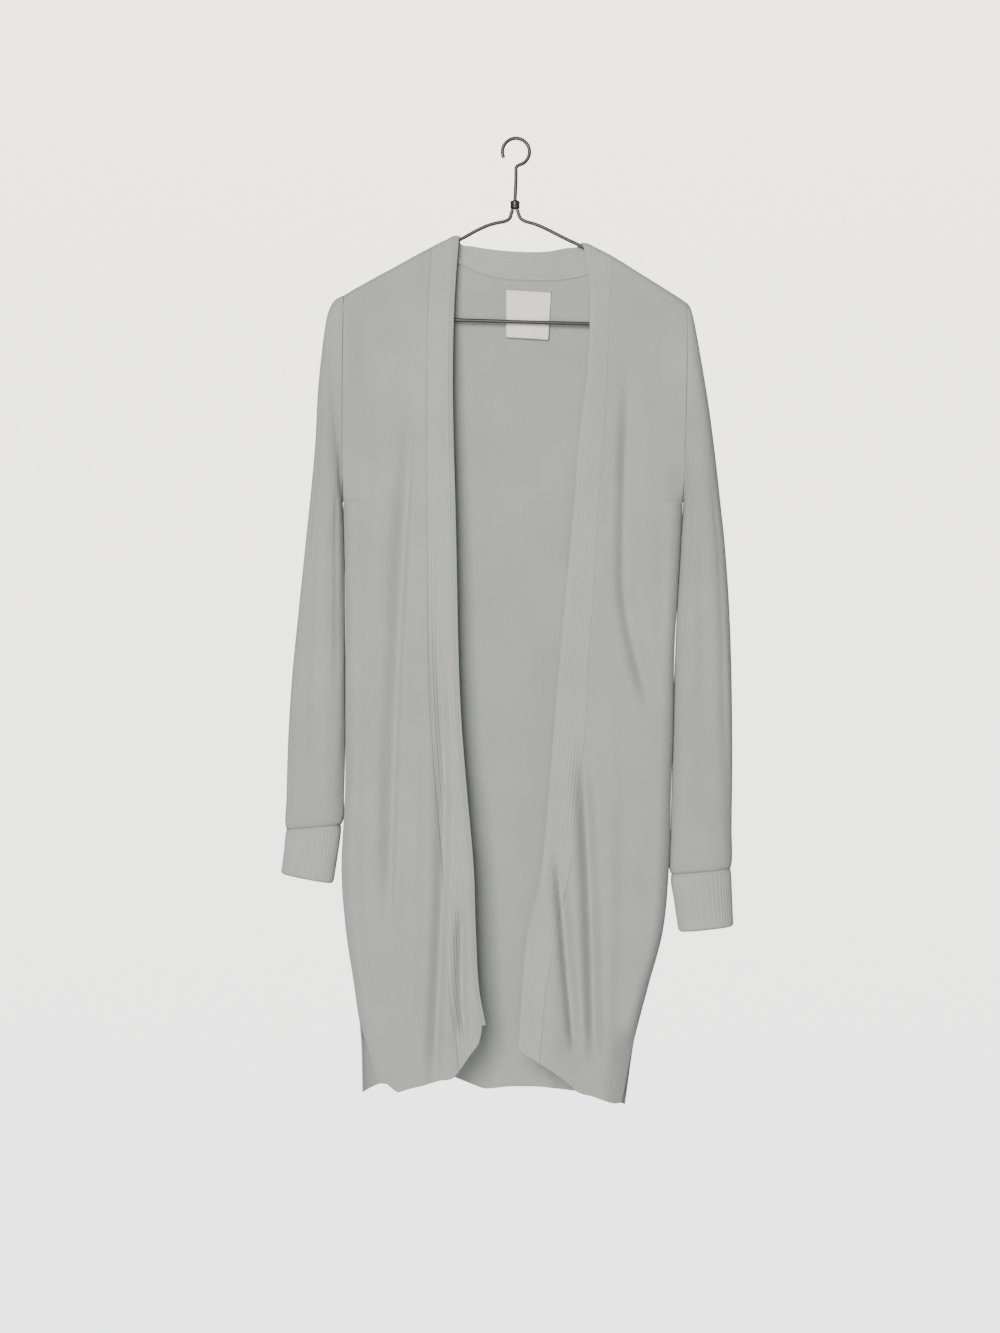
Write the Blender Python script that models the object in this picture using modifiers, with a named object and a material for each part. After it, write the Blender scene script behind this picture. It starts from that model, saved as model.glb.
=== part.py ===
"""Duster cardigan on a wire hanger: a long open-front knit, hung up flat by its shoulders.

Frame: +X to the viewer's right, -Y towards the viewer, +Z up, origin where the hook bears on
its rail. Tables and sizes are in millimetres and the meshes in metres. Left and right are the
viewer's. The hanger and the cloth lean a little, so the right side is lower all the way down.
"""
import bpy
import bmesh
from math import acos, cos, exp, hypot, pi, radians, sin, sqrt
from mathutils import Vector

MM = 0.001

# Driving sizes, in millimetres
PANEL_WALL = 2.0
BAND_WALL = 2.6
SEAM_GAP = 0.3
SHOULDER_ROUND = 9.0       # the cloth turns over the hanger's wire on this radius
SHOULDER_FALL = 150.0      # the body reaches its full depth this far below the shoulder
SIDE_ROUND = 15.0          # the body turns in to its side seams on this radius
ARMHOLE_DEPTH = 22.0       # half the depth of an armhole, front to back
UNDERARM = -398.0
LEVEL_EDGE = 14.0          # an edge this deep or more meets its neighbour level
VENT_TOP = -959.0
VENT_DROP = 78.0           # from the top of a side vent down to the front hem
VENT_SHIFT = {"left": 20.0, "right": 5.0}  # how far the front's edge has swung in at the hem
VENT_SPREAD = 14.0         # the loose vent edges stand this far apart, front to back
VENT_EASE = 40.0           # and reach it this far below the top of the vent
WIRE = 4.0
BEAD = dict(radius=5.4, height=9.6, x=-1.0, z=-71.5, sides=20, rim=1.6)
LABEL = dict(thickness=0.6, lift=3.0, free_from=0.4, steps=5)
ON_SEAM = 0.01             # points this near a seam line lie on it
NORMAL_STEP = 0.05         # small step along the cloth, for its direction
RING_STEP = 0.01           # the same along and round a sleeve, in rings and radians

# Grid counts
BAND_COLUMNS = 4
PANEL_COLUMNS = 11
BACK_SHOULDER_COLUMNS = 8
NECK_STATIONS = 14
NECK_ROWS = 3
ARC_STEPS = 4
ROWS_TO_UNDERARM = 6
ROWS_TO_HEM = 14
SLEEVE_SIDES = 20

# Heights across the body, each with the places along X of its lines:
# the two side seams, the two band seams, the two front edges, and half the body's depth
SECTION_COLUMNS = ("z", "side_left", "seam_left", "edge_left",
                   "edge_right", "seam_right", "side_right", "front", "back")
SECTIONS = (
    (-100, -189.0, -91.0, -62.0, 72.0, 106.0, 188.0, 13, 12),
    (-180, -189.0, -95.5, -67.5, 81.5, 103.0, 188.0, 15, 13),
    (-260, -189.4, -97.0, -69.0, 77.0, 99.0, 186.4, 18, 15),
    (-330, -189.7, -97.0, -68.0, 68.5, 95.5, 185.0, 20, 17),
    (-400, -190.0, -96.5, -66.0, 63.0, 90.0, 183.5, 22, 18),
    (-480, -188.2, -96.0, -64.5, 56.0, 85.0, 179.3, 24, 20),
    (-560, -187.7, -95.0, -63.0, 48.0, 79.5, 174.5, 26, 21),
    (-640, -187.7, -92.0, -59.5, 41.5, 75.0, 173.2, 27, 22),
    (-720, -188.3, -86.0, -53.0, 35.0, 68.5, 170.6, 28, 23),
    (-800, -192.0, -79.5, -46.0, 27.0, 58.0, 168.3, 30, 24),
    (-870, -187.0, -76.0, -43.5, 12.0, 43.0, 161.5, 31, 25),
    (-930, -178.0, -72.5, -40.0, 6.5, 32.0, 145.5, 32, 26),
    (-975, -172.5, -66.0, -32.0, 3.5, 27.5, 134.0, 33, 26),
    (-1061, -169.8, -58.0, -24.0, -3.0, 22.0, 121.0, 34, 27),
)

# The line that the cloth hangs from: along the shoulders, and straight across the neck
RIDGE = (
    (-205, -180.0), (-189, -170.5), (-160, -154.2), (-132, -139.0), (-103, -123.0),
    (-78, -110.5), (-62, -103.8), (5, -106.5), (73, -111.3), (85, -117.0), (109, -129.5),
    (133, -144.5), (162, -162.5), (188, -179.0), (196, -184.0),
)

# The back neck: the seam of the neck band, and the band's free top edge
NECK_SEAM = (
    (-91, -117.0), (-84, -127.0), (-62, -135.5), (-38, -146.0), (-11, -152.0), (22, -153.5),
    (50, -153.0), (79, -147.0), (98, -138.0), (106, -127.5),
)
NECK_EDGE = (
    (-62, -103.8), (-60.5, -113.0), (-48, -115.5), (-33, -118.0), (-10, -120.5), (15, -121.8),
    (36, -121.0), (55, -117.5), (68, -115.5), (73, -111.3),
)

# Hem lines, by X. The fronts' hems climb from the side vents to the free edges of the bands
HEM_FRONT_LEFT = (
    (-150, -1032), (-139, -1041), (-126, -1038), (-98, -1032), (-88, -1029), (-70, -1025),
    (-60, -1014), (-50, -1001), (-38, -985), (-33, -969),
)
HEM_FRONT_RIGHT = (
    (1, -995), (15, -1004), (39, -1018), (63, -1034), (72, -1041), (91, -1046), (107, -1051),
    (119, -1055),
)
HEM_BACK = (
    (-171, -1049), (-152, -1042), (-128, -1039), (-89, -1033), (-67, -1036), (-51, -1042),
    (-29, -1049), (4, -1046), (32, -1046), (48, -1048), (70, -1051), (92, -1054), (122, -1062),
)
HEM_LEVEL = -1000.0        # a column takes its hem from its place along X at this height

# Folds, a row each: face, path, depth and width. The path gives the place along X at three
# heights, depth is in towards the wearer where negative, and width is the fold's own spread
FADE_IN = 3.5              # a fold reaches its depth in one part in this many of its length
FADE_OUT = 7.0
FOLDS = (
    ("front", ((-290, -113), (-520, -126), (-850, -139)), -6.0, 7.0),
    ("front", ((-500, -90), (-720, -77), (-1040, -90)), -6.0, 5.5),
    ("front", ((-860, -60), (-930, -60), (-990, -56)), -7.0, 5.0),
    ("front", ((-260, 124), (-480, 118), (-620, 148)), -4.5, 10.0),
    ("front", ((-670, 72), (-830, 82), (-1030, 87)), -12.0, 8.0),
    ("front", ((-780, 43), (-880, 54), (-1015, 65)), -8.0, 6.0),
    ("front", ((-760, 30), (-900, 38), (-1020, 40)), 4.0, 11.0),
    ("back", ((-420, -120), (-700, -108), (-1080, -96)), -6.0, 14.0),
    ("back", ((-500, 96), (-800, 84), (-1080, 92)), -6.0, 15.0),
    ("back", ((-640, -30), (-860, -22), (-1080, -26)), 5.0, 18.0),
    ("back", ((-700, 30), (-900, 38), (-1080, 34)), -4.0, 12.0),
)

# Sleeves: a row for each ring, from the armhole to the cuff's hem. The ring spans from its
# outer to its inner point, and its half depth is measured front to back
RING_COLUMNS = ("outer_x", "outer_z", "inner_x", "inner_z", "half_depth")
SLEEVE_LEFT = (
    (-189.0, -170.5, -190.0, -398.0, 22), (-200.0, -177.0, -190.6, -399.0, 23),
    (-207.5, -193.0, -190.9, -400.5, 24), (-212.5, -226.0, -191.0, -403.0, 26),
    (-217.5, -277.0, -191.0, -407.0, 28), (-220.5, -335.0, -190.9, -413.0, 29),
    (-225.5, -390.0, -190.6, -427.0, 29), (-231.0, -442.0, -189.9, -455.0, 28),
    (-238.5, -515.0, -189.2, -515.0, 27), (-246.0, -590.0, -188.9, -590.0, 26),
    (-250.3, -657.0, -189.0, -655.0, 25), (-252.0, -712.0, -189.9, -708.0, 24),
    (-253.0, -757.0, -191.8, -752.0, 23), (-254.8, -781.0, -196.0, -785.0, 23),
    (-258.0, -806.0, -201.0, -817.0, 22),
)
SLEEVE_RIGHT = (
    (188.0, -179.0, 183.5, -398.0, 22), (192.5, -186.0, 184.2, -399.5, 23),
    (197.0, -205.0, 184.5, -402.0, 24), (204.5, -248.5, 184.5, -406.0, 26),
    (212.0, -296.0, 184.3, -412.0, 28), (218.5, -346.0, 183.8, -422.0, 29),
    (224.5, -400.0, 182.9, -438.0, 29), (229.8, -450.0, 181.4, -465.0, 28),
    (234.5, -520.0, 178.1, -520.0, 27), (237.0, -600.0, 175.1, -600.0, 26),
    (237.8, -680.0, 173.4, -680.0, 25), (237.0, -745.0, 171.3, -748.0, 24),
    (236.5, -800.0, 170.2, -806.0, 23), (237.3, -832.0, 174.2, -838.0, 23),
    (238.7, -863.5, 179.0, -870.0, 22),
)
CUFF_RING = 12

# The blank neck label's corners, by X and Z
LABEL_CORNERS = ((-11, -163), (39.5, -166), (36, -219), (-11, -216))

# The hanger's wire between the bead and the shoulders, by X and Z, then the places along X
# where its arms are read off under the shoulders, and its round corners: x, z and radius
WIRE_NECK_LEFT = ((-3.8, -77.0), (-5.5, -82.0), (-6.2, -86.0), (-11.0, -89.5), (-23.0, -91.5),
                  (-34.0, -95.0), (-47.0, -101.5), (-60.0, -109.0))
WIRE_NECK_RIGHT = ((1.6, -77.0), (3.0, -82.0), (4.5, -86.0), (9.5, -89.5), (20.0, -92.0),
                   (33.0, -97.5), (50.0, -106.5), (69.0, -115.5))
WIRE_BELOW_RIDGE = 5.8
ARM_LEFT = range(-74, -175, -14)
ARM_RIGHT = range(84, 174, 12)
CORNER_LEFT = (-175.5, -183.3, 11.5)
CORNER_RIGHT = (173.5, -193.5, 11.5)
SHOULDER_SLOPE = radians(30)

# The hook, plain above the shaft: its eye is a circle that stands on the shaft
HOOK = dict(eye_radius=15.0, bend_radius=4.0, tip_angle=radians(205), straight=12.0)

MATERIALS = {
    "knit": dict(color=(0.40, 0.42, 0.40, 1), roughness=0.95, metallic=0.0),
    "rib": dict(color=(0.42, 0.44, 0.42, 1), roughness=0.95, metallic=0.0),
    "label": dict(color=(0.86, 0.86, 0.83, 1), roughness=0.8, metallic=0.0),
    "wire": dict(color=(0.05, 0.05, 0.055, 1), roughness=0.45, metallic=0.9),
}


def clear_scene():
    for item in list(bpy.data.objects):
        bpy.data.objects.remove(item, do_unlink=True)


def smooth_line(points, at):
    """Height of a smooth line through points sorted by their first value."""
    rows = sorted(points)
    if at <= rows[0][0]:
        return rows[0][1]
    if at >= rows[-1][0]:
        return rows[-1][1]
    index = max(i for i, row in enumerate(rows) if row[0] <= at)
    index = min(index, len(rows) - 2)
    (a, va), (b, vb) = rows[index], rows[index + 1]
    slope = (vb - va) / (b - a)
    before = (va - rows[index - 1][1]) / (a - rows[index - 1][0]) if index > 0 else slope
    after = (rows[index + 2][1] - vb) / (rows[index + 2][0] - b) if index + 2 < len(rows) else slope
    start = (before + slope) / 2 if before * slope > 0 else 0.0
    end = (after + slope) / 2 if after * slope > 0 else 0.0
    t = (at - a) / (b - a)
    return ((2 * t**3 - 3 * t**2 + 1) * va + (t**3 - 2 * t**2 + t) * (b - a) * start
            + (3 * t**2 - 2 * t**3) * vb + (t**3 - t**2) * (b - a) * end)


SECTION_LINES = {name: tuple((row[0], row[i]) for row in SECTIONS)
                 for i, name in enumerate(SECTION_COLUMNS)}


def section(name, z):
    return smooth_line(SECTION_LINES[name], z)


def ridge(x):
    return smooth_line(RIDGE, x)


def quarter_round(t):
    t = min(max(t, 0.0), 1.0)
    return sqrt(1 - (1 - t) ** 2)


def ease(t):
    t = min(max(t, 0.0), 1.0)
    return t * t * (3 - 2 * t)


def arc_insets(radius):
    """Distances in from a rounded edge at even angles round its quarter circle."""
    return [radius * (1 - cos(step * pi / 2 / ARC_STEPS)) for step in range(ARC_STEPS + 1)]


def armhole_depth(side, z):
    rings = SLEEVE_LEFT if side == "left" else SLEEVE_RIGHT
    top, bottom = rings[0][1], rings[0][3]
    s = (top - z) / (top - bottom)
    return ARMHOLE_DEPTH * sqrt(max(0.0, 1 - (2 * s - 1) ** 2)) if 0 < s < 1 else 0.0


def side_rise(inset, edge):
    """How far the cloth has come forward from its side line: round a side seam it turns on a
    quarter circle, and at an armhole it runs on level into the sleeve."""
    level = min(1.0, edge / LEVEL_EDGE)
    return (1 - level) * quarter_round(inset / SIDE_ROUND) + level * ease(inset / (2 * SIDE_ROUND))


def fold_relief(face, x, z):
    total = 0.0
    for fold_face, path, depth, width in FOLDS:
        if fold_face != face:
            continue
        top, bottom = path[0][0], path[-1][0]
        run = (top - z) / (top - bottom)
        if not 0 < run < 1:
            continue
        centre = smooth_line(path, z)
        fade = ease(run * FADE_IN) * ease((1 - run) * FADE_OUT)
        total += depth * fade * exp(-((x - centre) / width) ** 2)
    return total


def body_depth(face, x, z):
    """Distance of the cloth's outer side from the garment's middle plane."""
    left, right = section("side_left", z), section("side_right", z)
    nearest = "left" if x - left < right - x else "right"
    inset = max(0.0, min(x - left, right - x))
    drop = max(0.0, ridge(x) - z)
    middle = SHOULDER_ROUND * quarter_round(drop / SHOULDER_ROUND)
    middle += (section(face, z) - SHOULDER_ROUND) * ease(drop / SHOULDER_FALL)
    middle += fold_relief(face, x, z) * ease(drop / SHOULDER_FALL)
    edge = armhole_depth(nearest, z)
    edge += VENT_SPREAD / 2 * ease((VENT_TOP - z) / VENT_EASE)
    return SEAM_GAP / 2 + edge + (middle - edge) * side_rise(inset, edge)


def body_point(face, x, z):
    sign = -1 if face == "front" else 1
    return Vector((x, sign * body_depth(face, x, z), z))


def body_normal(face, x, z):
    """Outward direction of the cloth, from small steps along the surface."""
    sign = -1 if face == "front" else 1
    step = NORMAL_STEP
    x = min(max(x, section("side_left", z) + step), section("side_right", z) - step)
    z = min(z, ridge(x) - step)
    along_x = (body_depth(face, x + step, z) - body_depth(face, x - step, z)) / (2 * step)
    along_z = (body_depth(face, x, z + step) - body_depth(face, x, z - step)) / (2 * step)
    return Vector((-along_x, sign, -along_z)).normalized()


def row_heights(top, underarm, hem):
    """Heights down one column: round the shoulder, on to the underarm, then to the hem."""
    heights = [top - inset for inset in arc_insets(SHOULDER_ROUND)]
    start = heights[-1]
    for step in range(1, ROWS_TO_UNDERARM + 1):
        heights.append(start + (underarm - start) * sin(pi / 2 * step / ROWS_TO_UNDERARM))
    for step in range(1, ROWS_TO_HEM + 1):
        heights.append(underarm + (hem - underarm) * step / ROWS_TO_HEM)
    return heights


def column_of(face, x_at, hem, top=None):
    """Points down one column of cloth, where x_at gives its place along X by height."""
    if top is None:
        top = RIDGE[0][1]
        for _ in range(4):
            top = ridge(x_at(top))
    bottom = smooth_line(hem, x_at(HEM_LEVEL))
    return [(x_at(z), z) for z in row_heights(top, UNDERARM, bottom)]


def front_columns(side):
    """Columns of one front, from its free edge across the band and panel to the side seam."""
    outward = -1 if side == "left" else 1
    hem = HEM_FRONT_LEFT if side == "left" else HEM_FRONT_RIGHT
    edge, seam, flank = (f"{name}_{side}" for name in ("edge", "seam", "side"))

    def side_x(z):
        return section(flank, z) - outward * VENT_SHIFT[side] * max(0.0, (VENT_TOP - z) / VENT_DROP)

    columns = []
    for step in range(BAND_COLUMNS + 1):
        share = step / BAND_COLUMNS
        columns.append(lambda z, t=share: section(edge, z) + (section(seam, z) - section(edge, z)) * t)
    for step in range(1, PANEL_COLUMNS + 1):
        share = step / PANEL_COLUMNS
        columns.append(lambda z, t=share: section(seam, z)
                       + (side_x(z) - outward * SIDE_ROUND - section(seam, z)) * t)
    for inset in reversed(arc_insets(SIDE_ROUND)[:-1]):
        columns.append(lambda z, d=inset: side_x(z) - outward * d)
    return [column_of("front", x_at, hem) for x_at in columns]


def along_polyline(points, share):
    """A place at a share of a line's length, by X and Z."""
    lengths = [hypot(b[0] - a[0], b[1] - a[1]) for a, b in zip(points, points[1:])]
    target = share * sum(lengths)
    for (a, b), length in zip(zip(points, points[1:]), lengths):
        if target <= length:
            t = target / length
            return (a[0] + (b[0] - a[0]) * t, a[1] + (b[1] - a[1]) * t)
        target -= length
    return points[-1]


def neck_shares():
    """Stations along the neck band, closer together where it turns over the shoulders."""
    return [(1 - cos(pi * step / NECK_STATIONS)) / 2 for step in range(NECK_STATIONS + 1)]


def back_columns():
    """Columns of the back, from the left side seam to the right one."""
    left_neck, right_neck = NECK_SEAM[0][0], NECK_SEAM[-1][0]
    left_top, right_top = SECTIONS[0][1] + SIDE_ROUND, SECTIONS[0][6] - SIDE_ROUND

    def across(share):
        def x_at(z):
            left = section("side_left", z) + SIDE_ROUND
            right = section("side_right", z) - SIDE_ROUND
            return left + (right - left) * share
        return x_at

    columns = [column_of("back", lambda z, d=inset: section("side_left", z) + d, HEM_BACK)
               for inset in arc_insets(SIDE_ROUND)[:-1]]
    for step in range(BACK_SHOULDER_COLUMNS):
        x_top = left_top + (left_neck - left_top) * step / BACK_SHOULDER_COLUMNS
        columns.append(column_of("back", across((x_top - left_top) / (right_top - left_top)), HEM_BACK))
    for share in neck_shares():
        x_top, z_top = along_polyline(NECK_SEAM, share)
        columns.append(column_of("back", across((x_top - left_top) / (right_top - left_top)),
                                 HEM_BACK, top=z_top))
    for step in range(1, BACK_SHOULDER_COLUMNS + 1):
        x_top = right_neck + (right_top - right_neck) * step / BACK_SHOULDER_COLUMNS
        columns.append(column_of("back", across((x_top - left_top) / (right_top - left_top)), HEM_BACK))
    columns += [column_of("back", lambda z, d=inset: section("side_right", z) - d, HEM_BACK)
                for inset in reversed(arc_insets(SIDE_ROUND)[:-1])]
    return columns


def cloth_layers(face, columns, wall):
    """Outer and inner points of a wall of cloth. On its rim beside a seam the inner point
    keeps the seam's plane, so that two pieces stay apart all through their walls."""
    outer, inner = [], []
    for column in columns:
        outside = [body_point(face, x, z) for x, z in column]
        inside = []
        for point, (x, z) in zip(outside, column):
            deep = point - body_normal(face, x, z) * wall
            on_ridge = ridge(x) - z < ON_SEAM
            on_side = min(x - section("side_left", z), section("side_right", z) - x) < ON_SEAM
            if on_ridge:
                deep.y = point.y
            if on_side:
                deep.y = point.y if armhole_depth("left", z) == 0 else deep.y
                deep.x = point.x if armhole_depth("left", z) > 0 else deep.x
            inside.append(deep)
        outer.append(outside)
        inner.append(inside)
    return outer, inner


def inset_line(lines, index, neighbour, distance):
    """Move one line of points level towards its neighbour by a small distance."""
    moved = []
    for point, beside in zip(lines[index], lines[neighbour]):
        level = Vector((beside.x - point.x, beside.y - point.y, 0.0))
        moved.append(point + level.normalized() * distance)
    lines[index] = moved


def add_material(name):
    values = MATERIALS[name]
    material = bpy.data.materials.get(name) or bpy.data.materials.new(name)
    material.use_nodes = True
    surface = material.node_tree.nodes["Principled BSDF"]
    surface.inputs["Base Color"].default_value = values["color"]
    surface.inputs["Roughness"].default_value = values["roughness"]
    surface.inputs["Metallic"].default_value = values["metallic"]
    material.diffuse_color = values["color"]
    return material


def wall_object(name, outer, inner, material, collection, closed=False):
    """A wall between two grids of points. Closed grids run round a tube."""
    mesh_edit = bmesh.new()
    out_verts = [[mesh_edit.verts.new(p * MM) for p in line] for line in outer]
    in_verts = [[mesh_edit.verts.new(p * MM) for p in line] for line in inner]
    lines, rows = len(outer), len(outer[0])
    pairs = [(i, (i + 1) % lines) for i in range(lines if closed else lines - 1)]
    for i, j in pairs:
        for row in range(rows - 1):
            mesh_edit.faces.new((out_verts[i][row], out_verts[i][row + 1],
                                 out_verts[j][row + 1], out_verts[j][row]))
            mesh_edit.faces.new((in_verts[i][row], in_verts[j][row],
                                 in_verts[j][row + 1], in_verts[i][row + 1]))
        for row in (0, rows - 1):
            mesh_edit.faces.new((out_verts[i][row], out_verts[j][row], in_verts[j][row], in_verts[i][row]))
    if not closed:
        for i in (0, lines - 1):
            for row in range(rows - 1):
                mesh_edit.faces.new((out_verts[i][row], out_verts[i][row + 1],
                                     in_verts[i][row + 1], in_verts[i][row]))
    bmesh.ops.recalc_face_normals(mesh_edit, faces=mesh_edit.faces)
    mesh = bpy.data.meshes.new(name)
    mesh_edit.to_mesh(mesh)
    mesh_edit.free()
    mesh.shade_smooth()
    mesh.set_sharp_from_angle(angle=radians(60))
    mesh.materials.append(add_material(material))
    item = bpy.data.objects.new(name, mesh)
    collection.objects.link(item)
    return item


def build_fronts(collection):
    for side in ("left", "right"):
        columns = front_columns(side)
        pieces = (("band", columns[:BAND_COLUMNS + 1], BAND_WALL, "rib"),
                  ("front", columns[BAND_COLUMNS:], PANEL_WALL, "knit"))
        for piece, part_columns, wall, material in pieces:
            outer, inner = cloth_layers("front", part_columns, wall)
            at_seam, beside = (-1, -2) if piece == "band" else (0, 1)
            for layer in (outer, inner):
                inset_line(layer, at_seam, beside, SEAM_GAP / 2)
            wall_object(f"{piece}_{side}", outer, inner, material, collection)


def build_back(collection):
    outer, inner = cloth_layers("back", back_columns(), PANEL_WALL)
    first = ARC_STEPS + BACK_SHOULDER_COLUMNS
    for layer in (outer, inner):
        for column in layer[first + 1:first + NECK_STATIONS]:
            column[0] = column[0] + (column[1] - column[0]).normalized() * SEAM_GAP
    wall_object("back", outer, inner, "knit", collection)


def build_neck_band(collection):
    columns = []
    for share in neck_shares():
        seam, edge = along_polyline(NECK_SEAM, share), along_polyline(NECK_EDGE, share)
        columns.append([(seam[0] + (edge[0] - seam[0]) * row / NECK_ROWS,
                         seam[1] + (edge[1] - seam[1]) * row / NECK_ROWS)
                        for row in range(NECK_ROWS + 1)])
    outer, inner = cloth_layers("back", columns, BAND_WALL)
    for layer in (outer, inner):
        for end in (0, -1):
            layer[end] = [Vector((p.x, SEAM_GAP / 2, p.z)) for p in layer[end]]
    wall_object("neck_band", outer, inner, "rib", collection)


def ring_values(rings, t):
    return [smooth_line(tuple((i, row[c]) for i, row in enumerate(rings)), t)
            for c in range(len(RING_COLUMNS))]


def sleeve_point(rings, t, angle):
    outer_x, outer_z, inner_x, inner_z, half_depth = ring_values(rings, t)
    centre = Vector(((outer_x + inner_x) / 2, 0.0, (outer_z + inner_z) / 2))
    half = Vector(((outer_x - inner_x) / 2, 0.0, (outer_z - inner_z) / 2))
    return centre + half * cos(angle) + Vector((0, half_depth * sin(angle), 0))


def sleeve_normal(rings, t, angle, outward):
    step = RING_STEP
    low, high = max(0.0, t - step), min(len(rings) - 1.0, t + step)
    along = sleeve_point(rings, high, angle) - sleeve_point(rings, low, angle)
    around = sleeve_point(rings, t, angle + step) - sleeve_point(rings, t, angle - step)
    return along.cross(around).normalized() * outward


def tube_layers(rings, first, last, wall, side):
    """Lines of points down a sleeve, one for each angle round it."""
    outward = -1 if side == "left" else 1
    outer, inner = [], []
    for k in range(SLEEVE_SIDES):
        angle = 2 * pi * k / SLEEVE_SIDES
        outside = [sleeve_point(rings, t, angle) for t in range(first, last + 1)]
        inside = [p - sleeve_normal(rings, t, angle, outward) * wall
                  for p, t in zip(outside, range(first, last + 1))]
        if first == 0:
            inside[0].x = outside[0].x
        outer.append(outside)
        inner.append(inside)
    return outer, inner


def build_sleeves(collection):
    for side, rings in (("left", SLEEVE_LEFT), ("right", SLEEVE_RIGHT)):
        away = -1 if side == "left" else 1
        outer, inner = tube_layers(rings, 0, CUFF_RING, PANEL_WALL, side)
        for layer in (outer, inner):
            for line in layer:
                line[0] = line[0] + Vector((away * SEAM_GAP, 0, 0))
                line[-1] = line[-1] + (line[-2] - line[-1]).normalized() * SEAM_GAP
        wall_object(f"sleeve_{side}", outer, inner, "knit", collection, closed=True)
        outer, inner = tube_layers(rings, CUFF_RING, len(rings) - 1, BAND_WALL, side)
        wall_object(f"cuff_{side}", outer, inner, "rib", collection, closed=True)


def build_label(collection):
    steps = LABEL["steps"]
    outer, inner = [], []
    a, b, c, d = (Vector((x, 0, z)) for x, z in LABEL_CORNERS)
    for i in range(steps + 1):
        back_line, front_line = [], []
        for j in range(steps + 1):
            place = a.lerp(b, i / steps).lerp(d.lerp(c, i / steps), j / steps)
            normal = body_normal("back", place.x, place.z)
            seat = body_point("back", place.x, place.z) - normal * (PANEL_WALL + SEAM_GAP)
            seat.y -= LABEL["lift"] * ease((j / steps - LABEL["free_from"]) / (1 - LABEL["free_from"]))
            back_line.append(seat)
            front_line.append(seat - normal * LABEL["thickness"])
        outer.append(front_line)
        inner.append(back_line)
    wall_object("neck_label", outer, inner, "label", collection)


def wire_curve(name, points, collection):
    curve = bpy.data.curves.new(name, "CURVE")
    curve.dimensions = "3D"
    curve.bevel_depth = WIRE / 2 * MM
    curve.bevel_resolution = 2
    curve.use_fill_caps = True
    spline = curve.splines.new("POLY")
    spline.points.add(len(points) - 1)
    for target, (x, z) in zip(spline.points, points):
        target.co = (x * MM, 0, z * MM, 1)
    curve.materials.append(add_material("wire"))
    item = bpy.data.objects.new(name, curve)
    collection.objects.link(item)
    return item


def arc_points(x, z, radius, start, end, steps):
    return [(x + radius * cos(start + (end - start) * k / steps),
             z + radius * sin(start + (end - start) * k / steps)) for k in range(steps + 1)]


def build_hanger(collection):
    left = list(WIRE_NECK_LEFT) + [(x, ridge(x) - WIRE_BELOW_RIDGE) for x in ARM_LEFT]
    left += arc_points(*CORNER_LEFT, pi / 2 + SHOULDER_SLOPE, 3 * pi / 2, 8)
    right = list(WIRE_NECK_RIGHT) + [(x, ridge(x) - WIRE_BELOW_RIDGE) for x in ARM_RIGHT]
    right += arc_points(*CORNER_RIGHT, pi / 2 - SHOULDER_SLOPE, -pi / 2, 8)
    wire_curve("hanger_wire", left + right[::-1], collection)

    top = BEAD["z"] + BEAD["height"] / 2 + SEAM_GAP
    eye, bend = HOOK["eye_radius"], HOOK["bend_radius"]
    eye_z = WIRE / 2 - eye
    start = -acos(bend / (eye + bend))
    bend_z = eye_z + (eye + bend) * sin(start)
    hook = [(BEAD["x"], top), (0.0, bend_z - HOOK["straight"])]
    hook += arc_points(bend, bend_z, bend, pi, pi + start, 4)[:-1]
    hook += arc_points(0, eye_z, eye, start, HOOK["tip_angle"], 22)
    wire_curve("hanger_hook", hook, collection)

    bpy.ops.mesh.primitive_cylinder_add(vertices=BEAD["sides"], radius=BEAD["radius"] * MM,
                                        depth=BEAD["height"] * MM,
                                        location=(BEAD["x"] * MM, 0, BEAD["z"] * MM))
    bead = bpy.context.object
    bead.name = bead.data.name = "hanger_bead"
    bead.data.materials.append(add_material("wire"))
    soften = bead.modifiers.new("rounded rims", "BEVEL")
    soften.width = BEAD["rim"] * MM
    soften.segments = 2
    for group in list(bead.users_collection):
        group.objects.unlink(bead)
    collection.objects.link(bead)


def main():
    clear_scene()
    collection = bpy.data.collections.new("duster_cardigan_on_wire_hanger")
    bpy.context.scene.collection.children.link(collection)
    build_fronts(collection)
    build_back(collection)
    build_neck_band(collection)
    build_sleeves(collection)
    build_label(collection)
    build_hanger(collection)
    print("built", len(collection.objects), "pieces")


main()
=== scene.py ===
# %% [markdown]
# # A duster cardigan on a wire hanger
#
# The real thing is a long, open-front knit in a light sage grey, hung flat by its shoulders.
# It is made of knitted panels about 2 mm thick, linked to ribbed bands and cuffs. The packed
# solids give the frame: every panel here is rebuilt as a finer wall on the same surface, so
# it stays where its solid is. Left and right are the viewer's. +X is right, -Y is towards the
# viewer and +Z is up, with the origin where the hook bears on its rail.

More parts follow.
